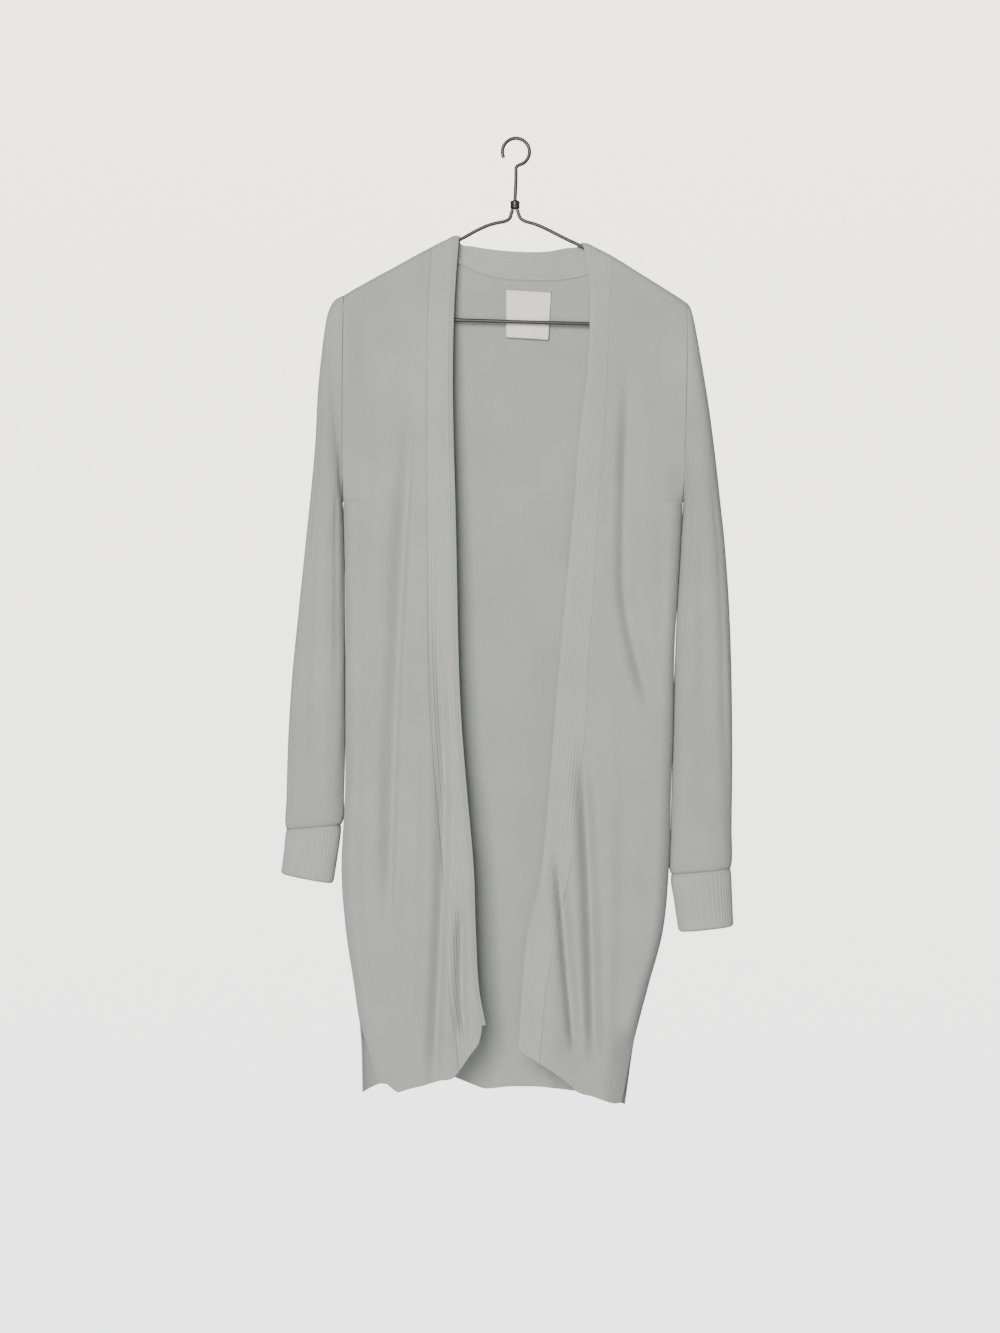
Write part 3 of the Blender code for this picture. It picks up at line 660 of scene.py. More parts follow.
cloth_pieces = {"back": back}
for side in ("left", "right"):
    arcs = arc_insets(SIDE_ROUND, SIDE_ARCS)[:-1][::-1]
    shares = np.concatenate([np.linspace(0, 1, PANEL_COLUMNS + 1), np.ones(SIDE_ARCS)])
    insets = np.concatenate([np.full(PANEL_COLUMNS + 1, SIDE_ROUND), arcs])
    x, z = front_grid(side, "seam", "side", shares, insets)
    points, normals = body_surface("front", x, z)
    rims = dict(first=0.5, last=0.5, top=0.6, bottom=1.0)
    outer, inner = wall_layers(points, normals, PANEL_WALL, rims)
    name = f"front_{side}"
    cloth_pieces[name] = add_piece(f"{name}_panel", wall_mesh(f"{name}_panel", outer, inner), KNIT)

    shares = edge_shares(BAND_RIBS * RIB_STEPS, 30.0, RIM[0])
    x, z = front_grid(side, "edge", "seam", shares, np.zeros(len(shares)))
    points, normals = body_surface("front", x, z)
    across = lengths_along(points, 0)
    wave = np.cos(2 * np.pi * BAND_RIBS * shares)[:, None] * ease(across / 2.5) * RIB_HEIGHT
    curl = EDGE_CURL * (1 - ease(across / EDGE_CURL_WIDTH))
    points = points + normals * (0.15 + wave - curl)[..., None]
    rims = dict(first=BAND_WALL / 2, last=0.5, top=0.6, bottom=BAND_WALL / 2)
    outer, inner = wall_layers(points, normals, BAND_WALL, rims)
    name = f"band_{side}"
    cloth_pieces[name] = add_piece(f"{name}_strip", wall_mesh(f"{name}_strip", outer, inner), RIB)

# %% [markdown]
# ## The neck band
#
# The same band carries on across the back neck. It fans round from the shoulder: its short
# side runs along the free top edge and its long side along the neck seam, so the grid goes
# across from one line to the other at each station.

# %% Neck band
seam_line = along_polyline(NECK_SEAM, neck_shares())
free_line = along_polyline(NECK_EDGE, neck_shares())
shares = 1 - edge_shares(BAND_RIBS * RIB_STEPS, 30.0, RIM[0])[::-1]
x = seam_line[:, None, 0] + (free_line[:, None, 0] - seam_line[:, None, 0]) * shares
z = seam_line[:, None, 1] + (free_line[:, None, 1] - seam_line[:, None, 1]) * shares
points, normals = body_surface("back", x, z)
down = lengths_along(points, 1)
wave = np.cos(2 * np.pi * BAND_RIBS * shares) * ease((down[:, -1:] - down) / 2.5) * RIB_HEIGHT
points = points + normals * (wave - 0.3)[..., None]
points[0, :, 1] = np.maximum(points[0, :, 1], SEAM_GAP / 2)
points[-1, :, 1] = np.maximum(points[-1, :, 1], SEAM_GAP / 2)
rims = dict(first=0.3, last=0.3, top=0.9, bottom=BAND_WALL / 2)
outer, inner = wall_layers(points, normals, BAND_WALL, rims)
cloth_pieces["neck_band"] = add_piece("neck_band_strip", wall_mesh("neck_band_strip", outer, inner), RIB)

# %% [markdown]
# ## Sleeves and cuffs
#
# A sleeve is a tube. Its first ring is the armhole, which stands upright beside the body, and
# its rings turn until the last ones lie level round the cuff. The table gives each ring by its
# outer and inner point and its half depth. The rings turn flatter than an ellipse below the
# armhole, as an empty sleeve does, and six long creases run down each one. A crease has its
# side, its angles and rings from start to end, its depth and its width in degrees. The cuff
# carries on down the same rings, ribbed round and closed a little by its rib.

# %% Ring tables
RING_COLUMNS = ("outer_x", "outer_z", "inner_x", "inner_z", "half_depth")
SLEEVES = {
    "left": (
        (-189.0, -170.5, -190.0, -398.0, 22), (-200.0, -177.0, -190.6, -399.0, 23),
        (-207.5, -193.0, -190.9, -400.5, 24), (-212.5, -226.0, -191.0, -403.0, 26),
        (-217.5, -277.0, -191.0, -407.0, 28), (-220.5, -335.0, -190.9, -413.0, 29),
        (-225.5, -390.0, -190.6, -427.0, 29), (-231.0, -442.0, -189.9, -455.0, 28),
        (-238.5, -515.0, -189.2, -515.0, 27), (-246.0, -590.0, -188.9, -590.0, 26),
        (-250.3, -657.0, -189.0, -655.0, 25), (-252.0, -712.0, -189.9, -708.0, 24),
        (-253.0, -757.0, -191.8, -752.0, 23), (-254.8, -781.0, -196.0, -785.0, 23),
        (-258.0, -806.0, -201.0, -817.0, 22),
    ),
    "right": (
        (188.0, -179.0, 183.5, -398.0, 22), (192.5, -186.0, 184.2, -399.5, 23),
        (197.0, -205.0, 184.5, -402.0, 24), (204.5, -248.5, 184.5, -406.0, 26),
        (212.0, -296.0, 184.3, -412.0, 28), (218.5, -346.0, 183.8, -422.0, 29),
        (224.5, -400.0, 182.9, -438.0, 29), (229.8, -450.0, 181.4, -465.0, 28),
        (234.5, -520.0, 178.1, -520.0, 27), (237.0, -600.0, 175.1, -600.0, 26),
        (237.8, -680.0, 173.4, -680.0, 25), (237.0, -745.0, 171.3, -748.0, 24),
        (236.5, -800.0, 170.2, -806.0, 23), (237.3, -832.0, 174.2, -838.0, 23),
        (238.7, -863.5, 179.0, -870.0, 22),
    ),
}
CUFF_RING = 12
SLEEVE_SIDES = 120
SLEEVE_ROWS = 150
CUFF_RIBS = 46
CUFF_ROWS = 30
SLEEVE_LEAN = 1.1
SLEEVE_PUFF = 0.9
CUFF_STEP = 0.8
LAST_RING = 14
WAVE_SEED = 11

# %% Sleeve creases
SLEEVE_CREASES = (
    ("left", (-80, -96), (6.5, 11.6), -1.8, 9), ("left", (-60, -40), (3.0, 8.0), -1.6, 12),
    ("left", (-120, -128), (4.0, 9.5), -1.4, 10), ("left", (95, 84), (5.5, 11.8), -2.6, 14),
    ("left", (60, 40), (3.0, 8.5), -2.0, 13), ("left", (128, 120), (6.0, 11.0), -1.6, 12),
    ("right", (-100, -82), (6.0, 11.6), -1.6, 10), ("right", (-120, -136), (3.5, 8.5), -1.6, 12),
    ("right", (-62, -54), (5.0, 10.5), -1.3, 10), ("right", (86, 96), (5.5, 11.8), -2.6, 14),
    ("right", (122, 140), (3.0, 8.5), -2.0, 13), ("right", (52, 60), (6.5, 11.0), -1.6, 12),
)


def sleeve_points(side, t, angle):
    rings = np.array(SLEEVES[side], dtype=float)
    index = np.arange(len(rings))
    outer_x, outer_z, inner_x, inner_z, deep = (
        smooth_line(tuple(zip(index, rings[:, k])), t) for k in range(len(RING_COLUMNS)))
    power = 2 / (2 + 0.7 * ease(t / 4))
    along = np.sign(np.cos(angle)) * np.abs(np.cos(angle)) ** power
    aside = np.sign(np.sin(angle)) * np.abs(np.sin(angle)) ** power
    across = np.stack([outer_x - inner_x, np.zeros_like(t), outer_z - inner_z], axis=-1) / 2
    centre = np.stack([(outer_x + inner_x) / 2, np.zeros_like(t), (outer_z + inner_z) / 2], axis=-1)
    straight = np.stack([np.zeros_like(t), deep, np.zeros_like(t)], axis=-1)
    return centre + across * along[..., None] + straight * aside[..., None]


def sleeve_relief(side, t, angle):
    total = np.zeros(np.shape(t))
    for crease_side, angles, rings, depth, width in SLEEVE_CREASES:
        if crease_side != side:
            continue
        run = np.clip((t - rings[0]) / (rings[1] - rings[0]), 0, 1)
        centre = angles[0] + (angles[1] - angles[0]) * run
        aside = (np.degrees(angle) - centre + 180) % 360 - 180
        total += depth * ease(run * 4) * ease((1 - run) * 4) * np.exp(-(aside / width) ** 2)
    return total


def tube(side, first, last, sides, rows):
    """Points and outward directions of a stretch of sleeve, by angle and by ring."""
    angle = (np.arange(sides) * 2 * np.pi / sides)[:, None] + np.zeros((1, rows + 1))
    t = np.linspace(first, last, rows + 1)[None, :] + np.zeros((sides, 1))
    points = sleeve_points(side, t, angle)
    around = np.roll(points, -1, axis=0) - np.roll(points, 1, axis=0)
    step = 0.01
    along = (sleeve_points(side, np.minimum(t + step, LAST_RING), angle)
             - sleeve_points(side, np.maximum(t - step, 0.0), angle))
    normals = np.cross(along, around)
    normals *= -1.0 if side == "left" else 1.0
    normals /= np.linalg.norm(normals, axis=-1, keepdims=True)
    return points, normals, t, angle


# %% Sleeves
for side in ("left", "right"):
    away = -1.0 if side == "left" else 1.0
    points, normals, t, angle = tube(side, 0, CUFF_RING, SLEEVE_SIDES, SLEEVE_ROWS)
    puff = SLEEVE_PUFF * ease((t - 11.2) / 0.5) * (1 - ease((t - 11.8) / 0.2))
    uneven = 0.5 * slow_waves(np.degrees(angle), points[..., 2], WAVE_SEED)
    uneven *= ease(t / 2) * ease((CUFF_RING - t) / 0.5)
    points = points + normals * (sleeve_relief(side, t, angle) + puff + uneven)[..., None]
    beside = np.cos(angle) < 0
    lean = SLEEVE_LEAN * ease(-np.cos(angle) * 1.4) * ease((t - 1) / 5) * ease((12.6 - t) / 0.8)
    points[..., 0] -= away * lean * beside
    points[:, 0, 0] += away * SEAM_GAP
    rims = dict(top=0.6, bottom=0.6)
    outer, inner = wall_layers(points, normals, PANEL_WALL, rims, closed=True)
    inner[:, 0, 0] = outer[:, 0, 0]
    name = f"sleeve_{side}"
    mesh = wall_mesh(f"{name}_tube", outer, inner, closed=True)
    cloth_pieces[name] = add_piece(mesh.name, mesh, KNIT)

    points, normals, t, angle = tube(side, CUFF_RING, LAST_RING, CUFF_RIBS * RIB_STEPS, CUFF_ROWS)
    wave = np.cos(angle * CUFF_RIBS) * ease((t - CUFF_RING) / 0.15) * RIB_HEIGHT
    wave = wave - CUFF_STEP * (1 - ease((t - CUFF_RING) / 0.3))
    points = points + normals * wave[..., None]
    rims = dict(top=0.6, bottom=BAND_WALL / 2)
    outer, inner = wall_layers(points, normals, BAND_WALL, rims, closed=True)
    name = f"cuff_{side}"
    mesh = wall_mesh(f"{name}_tube", outer, inner, closed=True)
    cloth_pieces[name] = add_piece(mesh.name, mesh, RIB)

# %% [markdown]
# ## The hanger
#
# A 4 mm wire in a dark coating: two arms under the shoulders, a straight bar, a hook, and a
# bead that holds them together. A wire is a circle carried along a path, which Geometry Nodes
# does in four steps: Mesh to Curve, Resample, Curve to Mesh, and a material. The path's
# points are the solid's, and its radius and resolution are the tree's named inputs.

# %% A node tree that makes wire
def new_tree(name, inputs):
    """An empty geometry tree with a geometry input and output, and named inputs."""
    tree = bpy.data.node_groups.new(name, "GeometryNodeTree")
    tree.interface.new_socket("Geometry", in_out="INPUT", socket_type="NodeSocketGeometry")
    for label, kind, value in inputs:
        socket = tree.interface.new_socket(label, in_out="INPUT", socket_type=kind)
        if value is not None:
            socket.default_value = value
    tree.interface.new_socket("Geometry", in_out="OUTPUT", socket_type="NodeSocketGeometry")
    return tree, tree.nodes.new("NodeGroupInput"), tree.nodes.new("NodeGroupOutput")


def joined(tree, node_type, links, **settings):
    """A node of this type, with its inputs linked or set."""
    node = tree.nodes.new(node_type)
    for key, value in settings.items():
        setattr(node, key, value)
    for key, value in links.items():
        if isinstance(value, bpy.types.NodeSocket):
            tree.links.new(value, node.inputs[key])
        else:
            node.inputs[key].default_value = value
    return node


def wire_tree():
    tree, given, result = new_tree("drawn_wire", (("Radius", "NodeSocketFloat", 0.002),
                                                  ("Spacing", "NodeSocketFloat", 0.002),
                                                  ("Sides", "NodeSocketInt", 20),
                                                  ("Material", "NodeSocketMaterial", None)))
    path = joined(tree, "GeometryNodeMeshToCurve", {"Mesh": given.outputs["Geometry"]})
    even = joined(tree, "GeometryNodeResampleCurve", {"Curve": path.outputs["Curve"],
                                                      "Length": given.outputs["Spacing"]}, mode="LENGTH")
    ring = joined(tree, "GeometryNodeCurvePrimitiveCircle", {"Resolution": given.outputs["Sides"],
                                                             "Radius": given.outputs["Radius"]})
    swept = joined(tree, "GeometryNodeCurveToMesh", {"Curve": even.outputs["Curve"],
                                                     "Profile Curve": ring.outputs["Curve"],
                                                     "Fill Caps": True})
    smooth = joined(tree, "GeometryNodeSetShadeSmooth", {"Geometry": swept.outputs["Mesh"]})
    whole = joined(tree, "GeometryNodeRealizeInstances", {"Geometry": smooth.outputs["Geometry"]})
    dressed = joined(tree, "GeometryNodeSetMaterial", {"Geometry": whole.outputs["Geometry"],
                                                       "Material": given.outputs["Material"]})
    tree.links.new(dressed.outputs["Geometry"], result.inputs["Geometry"])
    return tree


def run_tree(name, tree, lines, values):
    """Run a tree on lines of points, in metres, and return a plain mesh object."""
    mesh = bpy.data.meshes.new(name)
    vertices, edges = [], []
    for line in lines:
        start = len(vertices)
        vertices += [tuple(p) for p in line]
        edges += [(start + k, start + k + 1) for k in range(len(line) - 1)]
    mesh.from_pydata(vertices, edges, [])
    guide = bpy.data.objects.new(name + "_path", mesh)
    bpy.context.scene.collection.objects.link(guide)
    modifier = guide.modifiers.new("tree", "NODES")
    modifier.node_group = tree
    sockets = {s.name: s.identifier for s in tree.interface.items_tree if s.in_out == "INPUT"}
    for label, value in values.items():
        modifier[sockets[label]] = value
    evaluated = guide.evaluated_get(bpy.context.evaluated_depsgraph_get())
    made = bpy.data.meshes.new_from_object(evaluated)
    bpy.data.objects.remove(guide, do_unlink=True)
    piece = bpy.data.objects.new(name, made)
    bpy.context.scene.collection.objects.link(piece)
    return piece


# %% Wire material
def wire_material():
    material, tree, surface = new_material("dark_coated_wire", (0.030, 0.029, 0.031), 0.42)
    space = tree.nodes.new("ShaderNodeTexCoord").outputs["Object"]
    worn = noise_node(tree, space, 160.0, 4.0, 0.6)
    fine = noise_node(tree, space, 2200.0, 2.0)
    rough = tree.nodes.new("ShaderNodeMapRange")
    tree.links.new(worn, rough.inputs["Value"])
    rough.inputs["To Min"].default_value = 0.30
    rough.inputs["To Max"].default_value = 0.58
    tree.links.new(rough.outputs["Result"], surface.inputs["Roughness"])
    color = mix_colors(tree, worn, (0.022, 0.021, 0.023, 1), (0.060, 0.056, 0.054, 1))
    tree.links.new(color, surface.inputs["Base Color"])
    relief = tree.nodes.new("ShaderNodeBump")
    relief.inputs["Strength"].default_value = 0.25
    relief.inputs["Distance"].default_value = 0.0001
    tree.links.new(fine, relief.inputs["Height"])
    tree.links.new(relief.outputs["Normal"], surface.inputs["Normal"])
    surface.inputs["Metallic"].default_value = 0.55
    surface.inputs["Coat Weight"].default_value = 0.3
    surface.inputs["Coat Roughness"].default_value = 0.25
    return material


WIRE_FINISH = wire_material()

# %% Paths of the wire
WIRE = 4.0
WIRE_BELOW_RIDGE = 5.8
WIRE_NECK_LEFT = ((-3.8, -77.0), (-5.5, -82.0), (-6.2, -86.0), (-11.0, -89.5), (-23.0, -91.5),
                  (-34.0, -95.0), (-47.0, -101.5), (-60.0, -109.0))
WIRE_NECK_RIGHT = ((1.6, -77.0), (3.0, -82.0), (4.5, -86.0), (9.5, -89.5), (20.0, -92.0),
                   (33.0, -97.5), (50.0, -106.5), (69.0, -115.5))
CORNER_LEFT = (-175.5, -183.3, 11.5)
CORNER_RIGHT = (173.5, -193.5, 11.5)
SHOULDER_SLOPE = math.radians(30)
BEAD = dict(radius=5.4, height=9.6, x=-1.0, z=-71.5)
HOOK = dict(eye_radius=15.0, bend_radius=4.0, tip_angle=math.radians(205))


def arc_points(x, z, radius, start, end, steps):
    turn = np.linspace(start, end, steps + 1)
    return [(x + radius * math.cos(a), z + radius * math.sin(a)) for a in turn]


def rounded_path(points, passes=2):
    """The same path with its corners cut twice, as a bender rounds them."""
    line = np.array(points, dtype=float)
    for _ in range(passes):
        cut = np.stack([line[:-1] * 0.75 + line[1:] * 0.25, line[:-1] * 0.25 + line[1:] * 0.75], axis=1)
        line = np.concatenate([line[:1], cut.reshape(-1, 2), line[-1:]])
    return [(x * MM, 0.0, z * MM) for x, z in line]


def under_ridge(x):
    return (x, float(ridge(x)) - WIRE_BELOW_RIDGE)


left_arm = list(WIRE_NECK_LEFT) + [under_ridge(x) for x in range(-74, -175, -14)]
left_arm += arc_points(*CORNER_LEFT, math.pi / 2 + SHOULDER_SLOPE, 3 * math.pi / 2, 8)
right_arm = list(WIRE_NECK_RIGHT) + [under_ridge(x) for x in range(84, 174, 12)]
right_arm += arc_points(*CORNER_RIGHT, math.pi / 2 - SHOULDER_SLOPE, -math.pi / 2, 8)
loop_path = rounded_path(left_arm + right_arm[::-1])

eye_z = WIRE / 2 - HOOK["eye_radius"]
start = -math.acos(HOOK["bend_radius"] / (HOOK["eye_radius"] + HOOK["bend_radius"]))
bend_z = eye_z + (HOOK["eye_radius"] + HOOK["bend_radius"]) * math.sin(start)
hook_path = [(BEAD["x"], BEAD["z"] + BEAD["height"] / 2 + SEAM_GAP), (0.0, bend_z - 12.0)]
bend = HOOK["bend_radius"]
hook_path += arc_points(bend, bend_z, bend, math.pi, math.pi + start, 4)[:-1]
hook_path += arc_points(0, eye_z, HOOK["eye_radius"], start, HOOK["tip_angle"], 22)
hook_path = rounded_path(hook_path)

# %% Hanger pieces
drawn_wire = wire_tree()
wire_values = {"Radius": WIRE / 2 * MM, "Spacing": 2.2 * MM, "Sides": 16, "Material": WIRE_FINISH}
hanger_loop = run_tree("hanger_loop", drawn_wire, [loop_path], wire_values)
hanger_hook = run_tree("hanger_hook_bent", drawn_wire, [hook_path], wire_values)
bead_profile = ((0.0, 0.5), (0.62, 0.5), (0.86, 0.44), (0.97, 0.33), (1.0, 0.18), (0.93, 0.09),
                (0.93, -0.09), (1.0, -0.18), (0.97, -0.33), (0.86, -0.44), (0.62, -0.5), (0.0, -0.5))
BEAD_SIDES = 40
edit = bmesh.new()
rings = []
for r, h in bead_profile[1:-1]:
    rings.append([edit.verts.new(((BEAD["x"] + BEAD["radius"] * r * math.cos(a)) * MM,
                                  BEAD["radius"] * r * math.sin(a) * MM,
                                  (BEAD["z"] + BEAD["height"] * h) * MM))
                  for a in np.linspace(0, 2 * np.pi, BEAD_SIDES, endpoint=False)])
for upper, lower in zip(rings, rings[1:]):
    for k in range(BEAD_SIDES):
        edit.faces.new((upper[k], lower[k], lower[(k + 1) % BEAD_SIDES], upper[(k + 1) % BEAD_SIDES]))
edit.faces.new(rings[0][::-1])
edit.faces.new(rings[-1])
bmesh.ops.recalc_face_normals(edit, faces=edit.faces)
bead_mesh = bpy.data.meshes.new("hanger_bead_turned")
edit.to_mesh(bead_mesh)
edit.free()
bead_mesh.shade_smooth()
bead_mesh.set_sharp_from_angle(angle=math.radians(50))
hanger_bead = add_piece("hanger_bead_turned", bead_mesh, WIRE_FINISH)
print("wire length, m:", round(sum(math.dist(a, b) for a, b in zip(loop_path, loop_path[1:])), 2))

# %% [markdown]
# ## The neck label
#
# A small woven label, off-white and blank, is caught to the back just under the neck seam by
# its top edge. Its foot hangs free and stands a few millimetres off the knit. It is a thin
# wall on the back's inner side, and its own fine weave is in the material.

# %% Label
LABEL_CORNERS = ((-11, -163), (39.5, -166), (36, -219), (-11, -216))
LABEL = dict(thickness=0.6, lift=3.0)
LABEL_STEPS = 36


def label_material():
    material, tree, surface = new_material("woven_label", (0.80, 0.79, 0.75), 0.7)
    cloth = tree.nodes.new("ShaderNodeUVMap")
    cloth.uv_map = "cloth"
    split = tree.nodes.new("ShaderNodeSeparateXYZ")
    tree.links.new(cloth.outputs["UV"], split.inputs[0])
    warp = math_node(tree, "SINE", math_node(tree, "MULTIPLY", split.outputs["X"], 2 * math.pi / 0.0005))
    weft = math_node(tree, "SINE", math_node(tree, "MULTIPLY", split.outputs["Y"], 2 * math.pi / 0.0004))
    weave = math_node(tree, "MULTIPLY", warp, weft)
    relief = tree.nodes.new("ShaderNodeBump")
    relief.inputs["Strength"].default_value = 0.35
    relief.inputs["Distance"].default_value = 0.0001
    tree.links.new(weave, relief.inputs["Height"])
    tree.links.new(relief.outputs["Normal"], surface.inputs["Normal"])
    space = tree.nodes.new("ShaderNodeTexCoord").outputs["Object"]
    cloudy = noise_node(tree, space, 60.0, 3.0)
    color = mix_colors(tree, cloudy, (0.76, 0.745, 0.70, 1), (0.85, 0.84, 0.80, 1))
    tree.links.new(color, surface.inputs["Base Color"])
    surface.inputs["Sheen Weight"].default_value = 0.15
    return material


share = np.linspace(0, 1, LABEL_STEPS + 1)
a, b, c, d = (np.array(p, dtype=float) for p in LABEL_CORNERS)
top_edge = a + (b - a) * share[:, None]
foot_edge = d + (c - d) * share[:, None]
place = top_edge[:, None] + (foot_edge - top_edge)[:, None] * share[None, :, None]
seat, normals = body_surface("back", place[..., 0], place[..., 1])
seat = seat - normals * (PANEL_WALL + SEAM_GAP)
lift = LABEL["lift"] * ease((share - 0.4) / 0.6) * (1 + 0.25 * np.sin(3 * share))[:, None]
seat[..., 1] -= lift
rims = dict(first=0.3, last=0.3, top=0.3, bottom=0.3)
outer, inner = wall_layers(seat - normals * LABEL["thickness"], -normals, LABEL["thickness"], rims)
label = add_piece("neck_label_woven", wall_mesh("neck_label_woven", outer, inner), label_material())
print("label faces:", len(label.data.polygons))

# %% [markdown]
# ## Linking stitches
#
# Knitwear is linked, not sewn flat: a chain of small loops runs along each seam. Every stitch
# is the same, so one small bead of thread is instanced along the seam lines by a node tree,
# at its real spacing, and lies over the joint. The lines come from the same surface as the
# panels. The label's top edge is caught with a row of finer stitches.

# %% Stitch tree and seam lines
def stitch_tree():
    tree, given, result = new_tree("linked_seam", (("Spacing", "NodeSocketFloat", 0.002),
                                                   ("Size", "NodeSocketVector", None),
                                                   ("Material", "NodeSocketMaterial", None)))
    path = joined(tree, "GeometryNodeMeshToCurve", {"Mesh": given.outputs["Geometry"]})
    dots = joined(tree, "GeometryNodeCurveToPoints", {"Curve": path.outputs["Curve"],
                                                      "Length": given.outputs["Spacing"]}, mode="LENGTH")
    bead = joined(tree, "GeometryNodeMeshUVSphere", {"Segments": 6, "Rings": 4, "Radius": 1.0})
    each = joined(tree, "GeometryNodeInstanceOnPoints", {"Points": dots.outputs["Points"],
                                                         "Instance": bead.outputs["Mesh"],
                                                         "Rotation": dots.outputs["Rotation"],
                                                         "Scale": given.outputs["Size"]})
    whole = joined(tree, "GeometryNodeRealizeInstances", {"Geometry": each.outputs["Instances"]})
    smooth = joined(tree, "GeometryNodeSetShadeSmooth", {"Geometry": whole.outputs["Geometry"]})
    dressed = joined(tree, "GeometryNodeSetMaterial", {"Geometry": smooth.outputs["Geometry"],
                                                       "Material": given.outputs["Material"]})
    tree.links.new(dressed.outputs["Geometry"], result.inputs["Geometry"])
    return tree


def surface_line(face, x, z, lift):
    points, normals = body_surface(face, np.asarray(x, dtype=float), np.asarray(z, dtype=float))
    return (points + normals * lift) * MM


thread = new_material("linking_thread", (0.36, 0.37, 0.34), 0.85)[0]
linked_seam = stitch_tree()
STITCH_SIZE = (0.00032, 0.00042, 0.00085)
STITCH_SPACING = 0.0021
seams = {}
heights = np.linspace(-128.0, -990.0, 400)
for side in ("left", "right"):
    hem = HEM_FRONT_LEFT if side == "left" else HEM_FRONT_RIGHT
    seam_x = section(f"seam_{side}", heights)
    keep = (heights < ridge(seam_x) - 3) & (heights > smooth_line(hem, seam_x) + 3)
    seams[f"band_{side}_linking"] = [surface_line("front", seam_x[keep], heights[keep], -0.25)]
neck = along_polyline(NECK_SEAM, np.linspace(0.04, 0.96, 160))
seams["neck_linking"] = [surface_line("back", neck[:, 0], neck[:, 1], -0.2),
                         surface_line("back", neck[:, 0], neck[:, 1], -2.3)]
for name, lines in seams.items():
    values = {"Spacing": STITCH_SPACING, "Size": STITCH_SIZE, "Material": thread}
    cloth_pieces[name] = run_tree(name, linked_seam, lines, values)
label_line = (seat[3:-3, 2] - normals[3:-3, 2] * (LABEL["thickness"] + 0.05)) * MM
label_stitches = run_tree("label_stitches", linked_seam, [label_line],
                          {"Spacing": 0.0017, "Size": (0.00018, 0.0002, 0.0006), "Material": thread})
stitch_faces = sum(len(cloth_pieces[name].data.polygons) for name in seams)
print("stitched seams:", len(seams), "with", stitch_faces, "faces")

# %% [markdown]
# ## Where each piece belongs
#
# Every piece rides on the one rigid body and replaces the solid that it stands for. A table lists
# each piece of cloth with the flat size of what shows, a sleeve measured all round its tube, and
# its names pick the solids that are hidden.

# %% Ride and replace
FLAT_SIZES = {
    "back": (0.44, 0.95), "front_left": (0.16, 0.90), "front_right": (0.16, 0.91),
    "band_left": (0.036, 0.89), "band_right": (0.036, 0.91), "neck_band": (0.036, 0.21),
    "sleeve_left": (0.42, 0.62), "sleeve_right": (0.42, 0.66),
    "cuff_left": (0.16, 0.064), "cuff_right": (0.16, 0.068),
}
for name, piece in cloth_pieces.items():
    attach(piece, "root")
    if name in FLAT_SIZES:
        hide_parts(name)
for piece, node in ((label, "neck_label"), (hanger_loop, "hanger_wire"),
                    (hanger_hook, "hanger_hook"), (hanger_bead, "hanger_bead")):
    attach(piece, "root")
    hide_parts(node)
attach(label_stitches, "root")
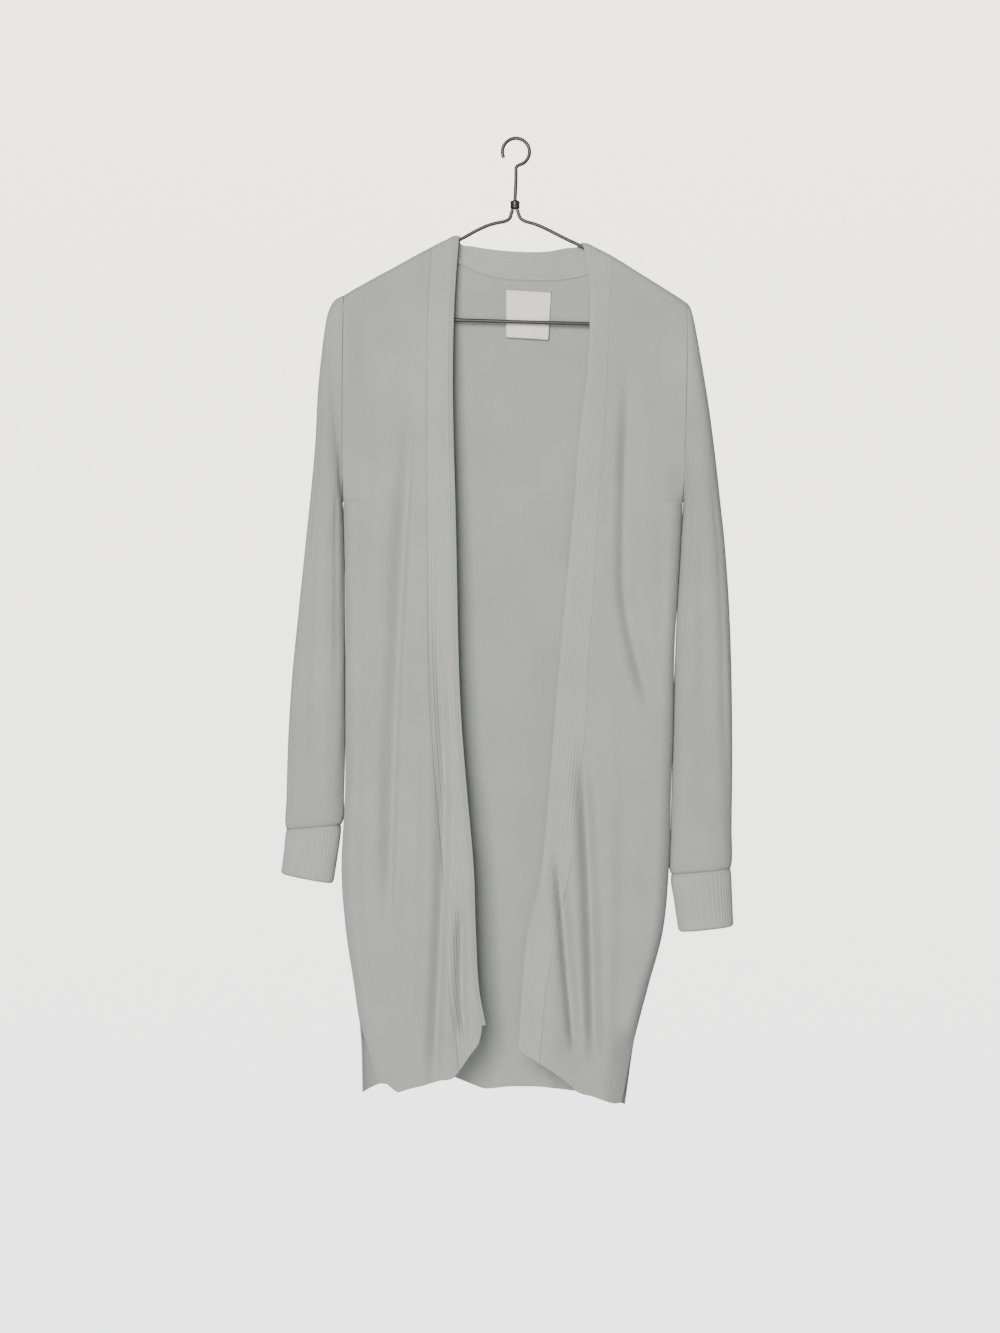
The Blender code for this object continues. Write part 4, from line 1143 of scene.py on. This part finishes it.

# %% [markdown]
# ## Room, lights and camera
#
# The photograph is a plain, bright catalogue view: pale all round, with soft light from in
# front and a little above. The world gives the pale ground and the fill; the ground that the camera
# sees is painted light, brighter and warmer towards the top as light from above would leave it. A
# large soft lamp shapes the folds from the upper left, a weak one fills in from below and one stands
# behind.
# A pale floor lies below the view. The camera looks level from 2.4 m, far enough for the
# sleeves to look as flat as they do.

# %% World
def pale_world():
    world = bpy.data.worlds.new("pale_room")
    bpy.context.scene.world = world
    world.use_nodes = True
    tree = world.node_tree
    tree.nodes.clear()
    direction = tree.nodes.new("ShaderNodeTexCoord").outputs["Generated"]
    split = tree.nodes.new("ShaderNodeSeparateXYZ")
    tree.links.new(direction, split.inputs[0])
    level = tree.nodes.new("ShaderNodeMapRange")
    level.inputs["From Min"].default_value = -0.25
    level.inputs["From Max"].default_value = 0.25
    tree.links.new(split.outputs["Z"], level.inputs["Value"])
    # Painted light: the seen backdrop is mixed from WALL_LOW below to the brighter, warmer WALL_HIGH
    # above.
    seen = mix_colors(tree, level.outputs["Result"], WALL_LOW, WALL_HIGH)
    shown = tree.nodes.new("ShaderNodeBackground")
    tree.links.new(seen, shown.inputs["Color"])
    shown.inputs["Strength"].default_value = WALL_STRENGTH
    fill = tree.nodes.new("ShaderNodeBackground")
    fill.inputs["Color"].default_value = (0.98, 0.99, 1.0, 1)
    fill.inputs["Strength"].default_value = FILL_STRENGTH
    rays = tree.nodes.new("ShaderNodeLightPath")
    either = tree.nodes.new("ShaderNodeMixShader")
    tree.links.new(rays.outputs["Is Camera Ray"], either.inputs[0])
    tree.links.new(fill.outputs[0], either.inputs[1])
    tree.links.new(shown.outputs[0], either.inputs[2])
    out = tree.nodes.new("ShaderNodeOutputWorld")
    tree.links.new(either.outputs[0], out.inputs["Surface"])


# Painted light: the wall is warmer and brighter at the top, as light from above falls on it.
WALL_LOW = (0.86, 0.865, 0.87, 1)
WALL_HIGH = (1.0, 0.985, 0.89, 1)
WALL_STRENGTH = 3.6
FILL_STRENGTH = 0.22
pale_world()

# %% Lamps and floor
def soft_lamp(name, location, target, size, power, color):
    lamp = bpy.data.lights.new(name, "AREA")
    lamp.shape = "SQUARE"
    lamp.size = size
    lamp.energy = power
    lamp.color = color
    item = bpy.data.objects.new(name, lamp)
    item.location = location
    item.rotation_euler = (Vector(target) - Vector(location)).to_track_quat("-Z", "Y").to_euler()
    bpy.context.scene.collection.objects.link(item)


middle = ((solid_low + solid_high) / 2)[:]
soft_lamp("window", (-0.75, -2.9, 0.25), middle, 1.3, 132, (1.0, 0.985, 0.955))
soft_lamp("low_window", (-0.3, -2.9, -1.3), middle, 1.3, 34, (0.90, 0.95, 1.0))
soft_lamp("behind", (0.6, 2.2, 0.6), middle, 2.0, 60, (1.0, 1.0, 1.0))

bpy.ops.mesh.primitive_circle_add(vertices=96, radius=0.9, fill_type="NGON", location=(0, 0, -1.62))
floor = bpy.context.object
floor.name = "pale_floor"
floor.data.materials.append(new_material("pale_floor", (0.80, 0.80, 0.79), 0.9)[0])

# %% Camera
PIXEL = 1.1 * MM
camera_data = bpy.data.cameras.new("photo_view")
camera = bpy.data.objects.new("photo_view", camera_data)
bpy.context.scene.collection.objects.link(camera)
DISTANCE = 2.4
FRAME_HEIGHT = 1333 * PIXEL
MIDDLE_X, MIDDLE_Z = -16, -526.5
camera.location = (MIDDLE_X * PIXEL, -DISTANCE, MIDDLE_Z * PIXEL)
camera.rotation_euler = (math.pi / 2, 0, 0)
camera_data.sensor_width = 36.0
camera_data.lens = camera_data.sensor_width * DISTANCE / FRAME_HEIGHT
bpy.context.scene.camera = camera
print("lens, mm:", round(camera_data.lens, 1))
